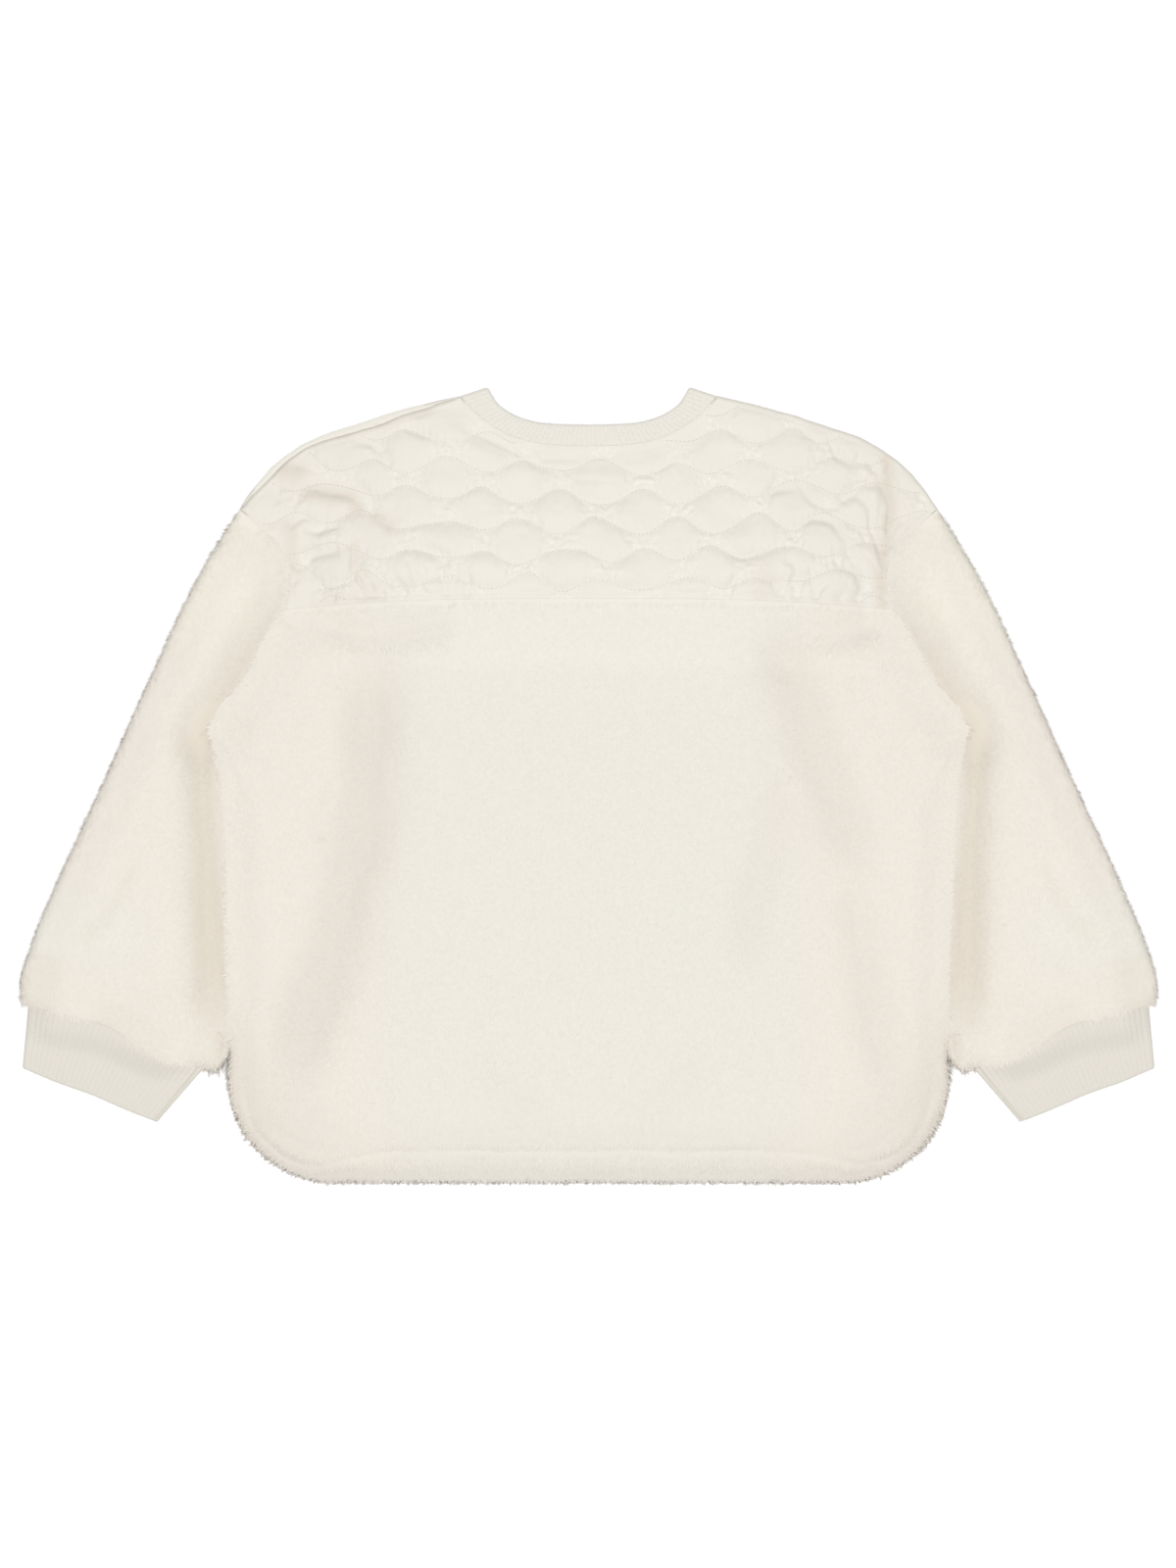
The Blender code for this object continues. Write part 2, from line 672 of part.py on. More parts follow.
def make_sleeve(name, side):
    lines = sleeve_lines()
    armhole, inner, seam, outer = lines

    def wall(points):
        up = eased(distance(points, armhole) / SEAM_REACH)
        down = rounded(distance(points, seam) / CUFF_SEAM_REACH)
        return SEAM_WALL + (PILE_WALL - SEAM_WALL) * np.minimum(up, down)

    hollow = hollow_lines(lines, wall)

    def puff(points):
        up = eased(distance(points, armhole) / PUFF_REACH)
        down = rounded(distance(points, seam) / CUFF_SEAM_REACH)
        across = eased(from_folds(points, lines) / PUFF_REACH)
        return SLEEVE_PUFF * np.minimum(up, down) * across

    def outer_top(points):
        folds = folds_at(points, SLEEVE_FOLDS)
        folds *= eased(from_folds(points, lines) / PILE_WALL)
        middle = wall(points) + LAYER_GAP / 2
        level = 2 * middle + puff(points) - folds
        return middle + (level - middle) * rounded(from_folds(points, lines) / PILE_ROLL)

    def outer_bottom(points):
        middle = wall(points) + LAYER_GAP / 2
        return middle * (1 - rounded(from_folds(points, lines) / PILE_ROLL))

    def inner_top(points):
        folds = np.minimum(folds_at(points, SLEEVE_FOLDS), puff(points))
        away = rounded(from_folds(points, hollow) / PILE_ROLL)
        return wall(points) + LAYER_GAP / 2 + (LAYER_GAP / 2 + puff(points) - folds) * away

    def inner_bottom(points):
        away = rounded(from_folds(points, hollow) / PILE_ROLL)
        return wall(points) + LAYER_GAP / 2 * (1 - away)

    outline, inside_line = ring(*lines), ring(*hollow)

    def rolls(shares):
        return rolled_rows(outer, PILE_ROLL, -1, shares) + rolled_rows(inner, PILE_ROLL, 1, shares)

    in_folds = [
        (moved(hollow[3], -HOLLOW_ROW), NARROW_ROOM), (moved(hollow[1], HOLLOW_ROW), NARROW_ROOM),
    ]
    ends = [(moved(seam, -away), NARROW_ROOM) for away in CUFF_SEAM_ROWS]
    ends += [(moved(armhole, SEAM_ROW), SEAM_ROW / 2)]
    points = (
        within(outline, rolls(TOP_ROWS) + ends + [lattice(outline, SLEEVE_STEP)]),
        within(outline, rolls(UNDER_ROWS) + [lattice(outline, SPARSE_STEP)]),
        within(inside_line, in_folds + [lattice(inside_line, PLAIN_STEP)]),
        within(inside_line, in_folds + [lattice(inside_line, SPARSE_STEP)]),
    )
    heights = (outer_top, outer_bottom, inner_top, inner_bottom)
    sleeve = tube(name, PILE_COLOUR, lines, hollow, heights, points)
    return faced(sleeve, side)


def make_cuff(name, side):
    """A cuff: a flat tube of rib, with the ribs raised on its upper side."""
    seam = smooth(CUFF_SEAM, EDGE_STEP)
    seam = np.concatenate([[CUFF_START], seam[seam[:, 0] < CUFF_START[0]]])
    seam = moved(smooth(seam, FINE_STEP), SEAM_GAP)
    hem = smooth(CUFF_HEM, FINE_STEP)
    start, last = (even_count(line, 2 * CUFF_RIBS) for line in (seam, hem))
    outer = evenly(np.array([start[0], last[0]]), FOLD_STEP)
    inner = evenly(np.array([start[-1], last[-1]]), FOLD_STEP)
    lines = (start, inner, last, outer)

    def wall(points):
        return np.full(len(points), RIB_WALL)

    hollow = hollow_lines(lines, wall)
    middle = RIB_WALL + LAYER_GAP / 2
    halfway = (start + last) / 2
    crests = np.concatenate([line[1:-1:2] for line in (start, last, halfway)])

    def outer_top(points):
        away = np.linalg.norm(points[:, None] - crests, axis=-1).min(axis=1)
        ribs = np.where(away < SEAM_GAP, RIB_RISE, 0.0)
        return middle * (1 + rounded(from_folds(points, lines) / RIB_WALL)) + ribs

    def outer_bottom(points):
        return middle * (1 - rounded(from_folds(points, lines) / RIB_WALL))

    def inner_top(points):
        return middle + LAYER_GAP / 2 * rounded(from_folds(points, hollow) / RIB_WALL)

    def inner_bottom(points):
        return middle - LAYER_GAP / 2 * rounded(from_folds(points, hollow) / RIB_WALL)

    ribs = halfway[1:-1]
    folds = ((inner, RIB_WALL), (outer, -RIB_WALL))
    flat = np.concatenate([moved(line, away) for line, away in folds])
    flat = within(ring(*lines), [(flat, RIB_WALL)])
    none = np.empty((0, 2))
    heights = (outer_top, outer_bottom, inner_top, inner_bottom)
    cuff = tube(name, RIB_COLOUR, lines, hollow, heights, (ribs, flat, none, none))
    return faced(cuff, side)


def faced(piece, side):
    """The piece on its side: the left-hand one mirrors the right-hand one."""
    if side < 0:
        mesh = piece.data
        for vertex in mesh.vertices:
            vertex.co.x = -vertex.co.x
        mesh.flip_normals()
    return piece


# Neckband

def make_neckband():
    """A band of rib round the neck: ribbed over the back, folded at both shoulders."""
    back = [neck_line(BACK_NECK, column, FINE_STEP) for column in ("edge_x", "seam_x")]
    front = [neck_line(FRONT_NECK, column, FINE_STEP) for column in ("edge_x", "seam_x")]
    turn = RIB_WALL + LAYER_GAP / 2
    sections = []
    upper = [even_count(trimmed(line, turn), 2 * NECK_RIBS) for line in back]
    for i, (edge, seam) in enumerate(zip(*upper)):
        rib = RIB_RISE if i % 2 else 0.0
        sections.append(neck_section(edge, seam, 2 * turn + rib, turn + LAYER_GAP / 2))
    sections += fold_sections(back, front, turn, 1)
    lower = [even_count(trimmed(line, turn), FRONT_NECK_PARTS)[::-1] for line in front]
    for edge, seam in zip(*lower):
        sections.append(neck_section(edge, seam, 0.0, RIB_WALL))
    sections += fold_sections(back, front, turn, -1)
    piece = Piece()
    piece.points = [point for section in sections for point in section]
    for i in range(len(sections)):
        here, there = 4 * i, 4 * ((i + 1) % len(sections))
        for k in range(4):
            after = (k + 1) % 4
            piece.faces.append([here + k, here + after, there + after, there + k])
    return piece.made("neckband", RIB_COLOUR)


def neck_section(edge, seam, outer_z, inner_z):
    return [(*edge, outer_z), (*seam, outer_z), (*seam, inner_z), (*edge, inner_z)]


def trimmed(line, cut):
    """The line without a length of cut at both its ends."""
    fine = even_count(line, len(line))
    step = np.linalg.norm(fine[1] - fine[0])
    skip = round(cut / step)
    return fine[skip:-skip]


def before_end(line, away):
    """The point that is away before the line's end."""
    lengths = np.linalg.norm(np.diff(line[::-1], axis=0), axis=1)
    along = np.concatenate([[0.0], np.cumsum(lengths)])
    return [np.interp(away, along, column) for column in line[::-1].T]


def fold_sections(back, front, turn, side):
    """The sections round a shoulder fold: back to front on the right, front to back on the left."""
    made = []
    hollow = LAYER_GAP / 2
    for angle in np.radians((45, 0, -45))[::side]:
        edge, seam = back if angle >= 0 else front
        section = []
        for line, radius in ((edge, turn), (seam, turn), (seam, hollow), (edge, hollow)):
            x, y = before_end(line, turn - radius * np.cos(angle))
            section.append((side * x, y, turn + radius * np.sin(angle)))
        made.append(section)
    return made


def main():
    for old in list(bpy.data.objects):
        bpy.data.objects.remove(old)
    body = Body()
    make_front_body(body)
    make_front_yoke()
    make_back_body(body)
    make_back_yoke()
    make_neckband()
    for name, side in (("left", -1), ("right", 1)):
        make_sleeve(name + "_sleeve", side)
        make_cuff(name + "_cuff", side)


main()
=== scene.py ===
"""The looks of a quilted sweatshirt, laid flat on its front with its back up.

Each solid of the frame is replaced by a finer piece on the same form: the quilted yoke with its
stitches, the pile fleece with its pile, and the rib knit. X runs across the back, Y up to the neck
and Z up from the floor, in metres. A table holds the right-hand half, and the left-hand half
mirrors it, unless its comment says otherwise.
"""

import bmesh
import bpy
import numpy as np
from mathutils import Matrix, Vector
from mathutils.bvhtree import BVHTree
from mathutils.geometry import delaunay_2d_cdt


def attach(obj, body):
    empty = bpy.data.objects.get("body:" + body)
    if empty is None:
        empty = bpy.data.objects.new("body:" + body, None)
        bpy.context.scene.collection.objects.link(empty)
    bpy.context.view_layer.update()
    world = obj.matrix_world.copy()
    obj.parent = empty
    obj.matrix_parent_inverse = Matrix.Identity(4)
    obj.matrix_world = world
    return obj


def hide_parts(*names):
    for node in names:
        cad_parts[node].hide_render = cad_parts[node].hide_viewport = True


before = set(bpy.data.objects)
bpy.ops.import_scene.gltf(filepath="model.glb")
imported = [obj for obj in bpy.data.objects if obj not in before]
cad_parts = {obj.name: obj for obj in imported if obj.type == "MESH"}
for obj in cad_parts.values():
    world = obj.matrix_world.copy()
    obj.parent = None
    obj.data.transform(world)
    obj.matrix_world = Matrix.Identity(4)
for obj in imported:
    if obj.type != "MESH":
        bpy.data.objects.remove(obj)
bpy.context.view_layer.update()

# Cloth. The walls and the gap between the layers are those of the frame.
PILE_WALL = 0.0060  # knit backing and pile
SEAM_WALL = 0.0030  # pile fleece where a seam holds it flat
YOKE_WALL = 0.0024
RIB_WALL = 0.0022
LAYER_GAP = 0.0006  # between the front and the back
SEAM_GAP = 0.00004  # between two pieces that are sewn together
SIDE_OVERLAP = 0.0003  # how far the pile of a sleeve and of the body's side go into each other
SEAM_DIP = 0.0004  # how far both pieces dip into a seam
SEAM_DIP_REACH = 0.0016
SEAM_RISE = 0.085  # over how far the body rises from a seam
SEAM_REACH = 0.036  # how far from a seam the pile stands up in full
CUFF_SEAM_REACH = 0.018
BODY_PUFF = 0.0050  # how far the back of the body stands off its front
SLEEVE_PUFF = 0.0046  # the same of the top of a sleeve
YOKE_PUFF = 0.0018
PUFF_REACH = 0.030  # from an edge
PILE_ROLL = 0.0075  # the rounding of a pile fleece edge, seen from above
YOKE_ROLL = 0.0035
SEWN_ROLL = 0.0012  # the rounding of woven cloth along a seam
BEAD_RISE = 0.0009  # of the strip over the left shoulder
LIP = 0.0016  # how thick the front is at its edge
SIDE_LIP = 0.0044  # the same of the back beside the sleeves
HEM_LIP = 0.0007  # the same of the back at the hem
FOLD_RAISE = 0.0046  # how much higher a sleeve's inner fold lies beside the body
HEM_SINK = 0.0026  # how far both layers dip towards the hem's edge
HEM_ROLL = 0.0150  # the rounding of the hem's edge
SIDE_ROLL = 0.0060  # the same of the body's sides
HEM_PUFF = 0.0016  # how far the hem swells between its edge and its stitches
HEM_SWELL = 0.012
HEM_SWELL_END = 0.013
CUFF_LIFT = 0.0085  # how far the sleeve and the cuff stand up at their seam
CUFF_SEAM_CURVE = 2.4  # how soon the cloth rises to that
CALM_AT_SEAM = 0.010  # how near to a seam the soft bumps fade
CALM_AT_CUFF = 0.008
CALM_IN_YOKE = 0.006
LIP_BELOW = 0.004  # how far under the place where the sleeve leaves it the body's lip rises
LIP_FADE = 0.020
LEAST_ROLL = 0.0002  # how much lower than the level beside it a lip is at least
FOLDS_CLEAR = 0.021  # how near to the armhole the folds of a sleeve fade
FOLDS_CLEAR_INNER = 0.003  # how much nearer they come to its inner fold
LIFT_CLEAR = 0.012  # how near to its folds the lift along the armhole fades
RAISED_FROM = 0.002  # where the inner fold lies higher: how far over the end beside the body
RAISED_FADE = 0.030
RAISED_HALF = 0.001  # how far from the fold the sleeve is raised in full
RAISED_REACH = 0.012
RAISED_SHARE = 0.75  # of the wall, the most that it is raised

# Pile
PILE_DEPTH = 0.0012  # how much of the wall the locks fill
LOCK_LENGTH = 0.0050
LOCK_WIDTH = 0.0016
LOCK_ROOT = 0.0003  # how deep a lock starts and ends under a level surface
LOCK_LIFT = 0.00032  # how high its middle lies over it
EDGE_LIFT = 0.0010  # the same where the surface turns down
EDGE_REACH = 0.0016  # how far the tips stand out there
LOCK_FLOOR = 0.0006  # the lowest that a lock reaches
LOCK_STRAY = 0.22  # how far each lock strays from the way that it is combed
LOCK_SWIRL = 0.30  # how far neighbours stray together
LOCK_CURL = 0.16  # how far a tip turns to one side
LOCK_LENGTHS = (0.65, 1.3)  # the shortest and the longest, as shares
LOCK_WIDTHS = (0.7, 1.25)
LOCK_LIFTS = (0.4, 1.6)
LOCK_REACHES = (0.2, 1.6)
LOCK_BROAD = 0.85  # how wide it is half-way along, for its root
UPRIGHT_FROM = 0.25  # how far up the surface faces where the locks stand out in full
UPRIGHT_FADE = 0.5
UPRIGHT_SHORTER = 0.35  # how much shorter they are there
SWIRL_SIZE = 0.011
LOCK_TILT = 0.12  # how far its normals lean, which makes it look round across its width
OFF_SEAM = 0.0004  # no lock grows nearer to a seam
FRINGE_REACH = 0.0030  # how far from a seam its fringe grows
FRONT_EDGE_REACH = 0.0045  # how far from the front's edge pile grows
BODY_DOWN = -0.85  # how far the pile is combed down, on the back of the body
BODY_FRINGE_DOWN = -0.5
BODY_OUT_REACH = (0.004, 0.008)  # how near to its edge it is combed outwards: in full, and fading
BODY_OUT_X = (0.17, 0.07)  # and how far to the side: from where, and over how far
SLEEVE_DOWN = -0.82
SLEEVE_OUT = (0.22, 0.55)  # how far outwards, and how much more near the armhole
SLEEVE_OUT_REACH = (0.006, 0.012)  # how near to it that is: in full, and fading
SLEEVE_OUT_BELOW = 0.07  # how far under the upper end of its lift that starts
SLEEVE_FRINGE_DOWN = -0.6
SLEEVE_FRINGE_REACH = (0.006, 0.004)  # how near to the cuff its fringe isn't combed inwards
LEAST_FACING = 0.02  # how far up the surface faces where pile grows, on the body
FRINGE_FACING = 0.1
SLEEVE_FACING = -0.75
PRESSED_FACING = 0.85  # where the sleeve is pressed against the body
PRESSED_REACH = 0.004
PRESSED_FROM = 0.008  # how far over the end beside the body that starts
BESIDE_FROM = 0.004  # the same of the fringe on the body's side
WILD_CORNERS = (  # a place on the right-hand side, its reach, and how much longer the locks are
    ((0.270, -0.205), 0.014, 1.6),
    ((0.246, -0.262), 0.042, 0.6),
    ((0.259, 0.199), 0.008, 0.9),
)

# Soft bumps, as a height and a size: those of fleece that lies loose, and of the quilted cloth.
# Two more hold shares of a height: how unlike the pillows of the quilting are, and its crumples.
FLEECE_BUMPS = ((0.00060, (0.052, 0.070)), (0.00012, (0.017, 0.024)), (0.00007, (0.005, 0.019)))
YOKE_BUMPS = ((0.0005, 0.014), (0.00018, 0.0042))
PILLOW_BUMPS = ((0.45, (0.026, 0.018)),)
CRUMPLE_BUMPS = ((1.0, (0.0042, 0.0032)), (0.5, (0.0021, 0.0019)))

# Quilting
QUILT_PERIOD = 0.0569
QUILT_PITCH = 0.0216  # from a stitch line to the next
QUILT_WAVE = 0.0047  # half the height of its waves
QUILT_UNEVEN = 0.30  # how unlike the waves are in height
QUILT_RISE = 0.0026  # of the fullest pillows
QUILT_TOP_Y = 0.2765  # of the uppermost stitch line
QUILT_LINES = 8
QUILT_PHASE_X = -0.0190
QUILT_LIFT = 0.0065  # how much higher the lines are at the armholes
QUILT_WANDER = 0.0027  # how far a stitch line strays from its wave
QUILT_FLAT = 0.34  # how full a pillow is at its ends, where two stitch lines come close
QUILT_OPEN = 0.58  # the share of the widest room at which a pillow is half full
QUILT_EVEN = 0.26
QUILT_SWAY = 0.0048  # how far a wave strays sideways
PILLOW_CURVE = 0.8  # below 1, the pillows are flatter on top and steeper at the stitches
PILLOW_CREASED = 0.25  # how much less full they are near the armholes
PUCKER_STRAY = 0.9
PUCKER_PITCH = 0.0058
PUCKER_RISE = 0.00030
PUCKER_REACH = 0.0065
PUCKER_START = 0.0008  # how high the wadding is where the puckers are full
CRUMPLE_RISE = 0.00095  # where two stitch lines come close
CREASED_X = 0.115  # from where the yoke is more creased, towards the armholes
CREASED_FADE = 0.060  # over how far that comes up
CREASE_FADE = 0.0045  # how near to an edge the creases end
EDGE_FADE = 0.0075  # over how far the quilting rises from an edge
SEAM_FADE = 0.013  # the same from the yoke seam
NECK_FADE = 0.014  # the same from the margin round the neck
NECK_MARGIN = 0.0150
NECK_RELIEF = 0.22  # how much of the quilting is left in that margin
NECK_FADE_START = 0.38  # the share of the rise that is reached at the margin's line
RIDGE_RISE = 0.0007  # of the cloth over its seam allowance
RIDGE_AWAY = 0.0022
RIDGE_HALF_WIDTH = 0.0012
STITCH_PITCH = 0.0031
STITCH_LENGTH = 0.0023
STITCH_RADIUS = 0.00034
STITCH_MARGIN = 0.003  # from the edges of the yoke
STITCHED_X = 0.26  # past the ends of the longest row
SHORTEST_RUN = 20  # in points on its line
GATHERS = (  # creases on both halves of the yoke seam: their x, their length and their depth
    (-0.186, 0.014, 0.0016), (-0.165, 0.023, 0.0026), (-0.150, 0.015, 0.0020),
    (-0.134, 0.021, 0.0022), (-0.117, 0.013, 0.0016), (-0.104, 0.025, 0.0024),
    (-0.089, 0.015, 0.0016), (-0.068, 0.010, 0.0010), (0.055, 0.009, 0.0010),
    (0.088, 0.013, 0.0014), (0.103, 0.024, 0.0022), (0.124, 0.014, 0.0016),
    (0.141, 0.016, 0.0022), (0.153, 0.025, 0.0024), (0.167, 0.020, 0.0024),
    (0.184, 0.014, 0.0016), (0.197, 0.019, 0.0020),
)
GATHER_HALF_WIDTH = 0.0016
GATHER_FOOT = 0.004  # how far under the seam a gather starts
GATHER_LEAN = 0.30  # how far it leans outwards, for its length
GATHER_STRAY = 0.28

# Yoke seam, hem, ribs
YOKE_SEAM_Y = 0.1368
YOKE_SEAM_DROP = 0.0085  # how much lower its ends are
HALF_YOKE = 0.2245  # half its length
SEAM_LIFT = 0.0086  # how far the layers stand apart along the yoke seam
SEAM_LIFT_X = 0.165
YOKE_LIFT_REACH = 0.095
BODY_LIFT_REACH = 0.050
ARM_LIFT = 0.0030  # the same along the armhole, between these two ends of it
ARM_LIFT_Y = (0.048, 0.202)
ARM_LIFT_FADE = 0.035  # over how far it comes up from each end
ARM_LIFT_REACH = 0.050
HEM_Y = -0.2913
HEM_CORNER = 0.078
HEM_TURN = (0.018, 0.063)  # how far up the hem begins and ends to turn into a side
HEM_WIDTH = 0.0230
HEM_CORNER_X = 0.135  # from where the hem narrows towards its corners
HEM_CORNER_FADE = 0.095
HEM_CORNER_WIDTH = 0.0090
HEM_STRAY = 0.0016  # how far its row of stitches strays
HEM_GROOVE = 0.0010
HEM_GROOVE_HALF = 0.0028
HEM_GROOVE_END_X = 0.255
HEM_GROOVE_FADE = 0.008
HEM_PULL = (0.8, 0.3)  # how deep it is in the middle, and how much more at the corners
HEM_PULL_UNEVEN = 0.7
NECK_RIBS = 54
FRONT_NECK_PARTS = 90
CUFF_LENGTH = 0.048
CUFF_RIBS = 31
CUFF_BEND = 0.20  # at what share of its length it begins to lie down, at its outer end
CUFF_BEND_SLANT = 0.24  # how much nearer to the seam that is at its inner end
CUFF_BEND_REACH = 0.44
CUFF_SWELL = 0.0008  # just under its seam
CUFF_SWELL_AT = 0.07  # as a share of its length
CUFF_SWELL_HALF = 0.05
CUFF_SWELL_FOLD = 0.01  # how near to its folds it fades
CUFF_CREASE = 0.0016  # along its inner fold
CUFF_CREASE_AWAY = 0.0022
CUFF_CREASE_HALF = 0.0008
CUFF_ROLL = 0.0016  # of its hem
CUFF_EDGE = (0.75, 0.6)  # how thin the hem's edge is, for the wall, and the share of that below
CUFF_RIB_END = 0.0014  # how near to the hem the ribs end
CUFF_RIB_SHARE = 0.5  # of the rise of a rib
NECK_RIB_SHARE = 0.52
RIB_CURVE = 0.55  # below 1, the ribs are broad and their valleys narrow
RIB_RISE = 0.0008
STRIP_WIDTH = 0.0050  # of the front yoke, which comes over the left shoulder
STRIP_UNEVEN = 0.3
SHOULDER_STRAY = 0.0007  # how uneven the shoulder seams are

# Outlines, as x and y
SHOULDER = (
    (0.0945, 0.2858), (0.130, 0.2775), (0.167, 0.2660), (0.200, 0.2545),
    (0.221, 0.2430), (0.236, 0.2300), (0.247, 0.2170), (0.2565, 0.2025),
)
ARMHOLE = (
    (0.2565, 0.2025), (0.241, 0.1890), (0.226, 0.1735), (0.2205, 0.1530), (0.2245, 0.1285),
    (0.2345, 0.1130), (0.248, 0.0870), (0.258, 0.0715), (0.270, 0.0590), (0.2775, 0.0430),
)
BODY_SIDE = (
    (0.2775, 0.0430), (0.2715, 0.0220), (0.2675, -0.0140), (0.265, -0.0700),
    (0.2632, -0.1400), (0.2628, -0.1900), (0.264, -0.2140),
)
SLEEVE_OUTER = (
    (0.2565, 0.2025), (0.283, 0.1590), (0.3245, 0.0725), (0.3568, 0.0005),
    (0.390, -0.0713), (0.409, -0.1170), (0.4172, -0.1450), (0.4174, -0.1605),
)
SLEEVE_CORNER = ((0.2665, -0.2025), (0.2745, -0.2092), (0.2833, -0.2083))
CUFF_SEAM = (
    (0.4174, -0.1605), (0.3965, -0.1656), (0.377, -0.1700), (0.352, -0.1775),
    (0.329, -0.1920), (0.306, -0.2030), (0.2833, -0.2083),
)
CUFF_START = (0.4118, -0.1622)
CUFF_HEM = (
    (0.4160, -0.2080), (0.392, -0.2182), (0.366, -0.2275), (0.3405, -0.2385), (0.3172, -0.2477),
)
SLEEVE_LEFT_Y = -0.194  # where the sleeve leaves the side of the body

# Neckband: its free edge and its seam, on the back and on the front
NECK_COLUMNS = ("edge_x", "edge_y", "seam_x", "seam_y")
BACK_NECK = (
    (0.0000, 0.2647, 0.0000, 0.2492),
    (0.0200, 0.2651, 0.0222, 0.2495),
    (0.0400, 0.2670, 0.0432, 0.2522),
    (0.0540, 0.2716, 0.0625, 0.2590),
    (0.0668, 0.2803, 0.0800, 0.2706),
    (0.0743, 0.2925, 0.0945, 0.2858),
)
FRONT_NECK = (
    (0.0000, 0.2165, 0.0000, 0.2005),
    (0.0190, 0.2178, 0.0225, 0.2020),
    (0.0420, 0.2260, 0.0510, 0.2125),
    (0.0600, 0.2440, 0.0725, 0.2345),
    (0.0705, 0.2680, 0.0860, 0.2625),
    (0.0743, 0.2925, 0.0945, 0.2858),
)

# Soft folds of the fleece, as a path, the half-width and the depth. Those of the body are unlike
# on its two sides.
BODY_FOLDS = (
    (((-0.150, 0.120), (-0.156, 0.083), (-0.160, 0.040), (-0.164, -0.015), (-0.176, -0.080),
      (-0.195, -0.140), (-0.213, -0.187), (-0.226, -0.250)), 0.020, 0.0076),
    (((-0.202, 0.120), (-0.166, 0.112), (-0.130, 0.114), (-0.092, 0.121)), 0.010, 0.0030),
    (((0.140, 0.112), (0.180, 0.110), (0.218, 0.120)), 0.009, 0.0026),
    (((-0.165, 0.036), (-0.190, -0.011), (-0.205, -0.045)), 0.013, 0.0022),
    (((0.124, 0.124), (0.152, 0.078), (0.165, 0.033), (0.182, -0.010), (0.206, -0.074)),
     0.019, 0.0058),
    (((0.156, 0.022), (0.136, -0.027), (0.122, -0.083), (0.115, -0.142)), 0.015, 0.0028),
    (((0.188, -0.060), (0.199, -0.110), (0.208, -0.165), (0.225, -0.235)), 0.017, 0.0044),
    (((-0.089, -0.197), (-0.054, -0.233), (-0.020, -0.252)), 0.009, 0.0014),
    (((0.088, -0.197), (0.052, -0.231), (0.020, -0.252)), 0.009, 0.0014),
)
SLEEVE_FOLDS = (
    (((0.214, 0.190), (0.222, 0.156), (0.231, 0.124), (0.254, 0.086), (0.277, 0.046),
      (0.283, 0.002), (0.280, -0.050), (0.276, -0.110), (0.272, -0.160), (0.268, -0.212)),
     0.0145, 0.0052),
    (((0.268, -0.178), (0.270, -0.195), (0.272, -0.208)), 0.0060, 0.0045),
    (((0.398, -0.122), (0.402, -0.145), (0.398, -0.168)), 0.0140, 0.0012),
    (((0.302, -0.197), (0.335, -0.180), (0.370, -0.166)), 0.0080, 0.0012),
    (((0.330, -0.050), (0.350, -0.088), (0.378, -0.118)), 0.006, 0.0009),
)

FOLD_STRAY = 0.004  # how uneven the sides of a fold are
FOLD_TAPER = 0.2  # the share of its length over which each end fades
FOLD_STEP = 0.006  # between the points of a path, for a fold
CREASE_STEP = 0.003  # the same for a crease
SHADE_STEP = 0.004  # the same for a shade
SHADE_STRAY = 0.0015  # how uneven the sides of a shade are
CREASE_STEEP = 1.25  # how wide a crease is on its right, for its half-width
CREASE_GENTLE = 2.4  # the same on its left
CREASE_DEPTH = 0.85
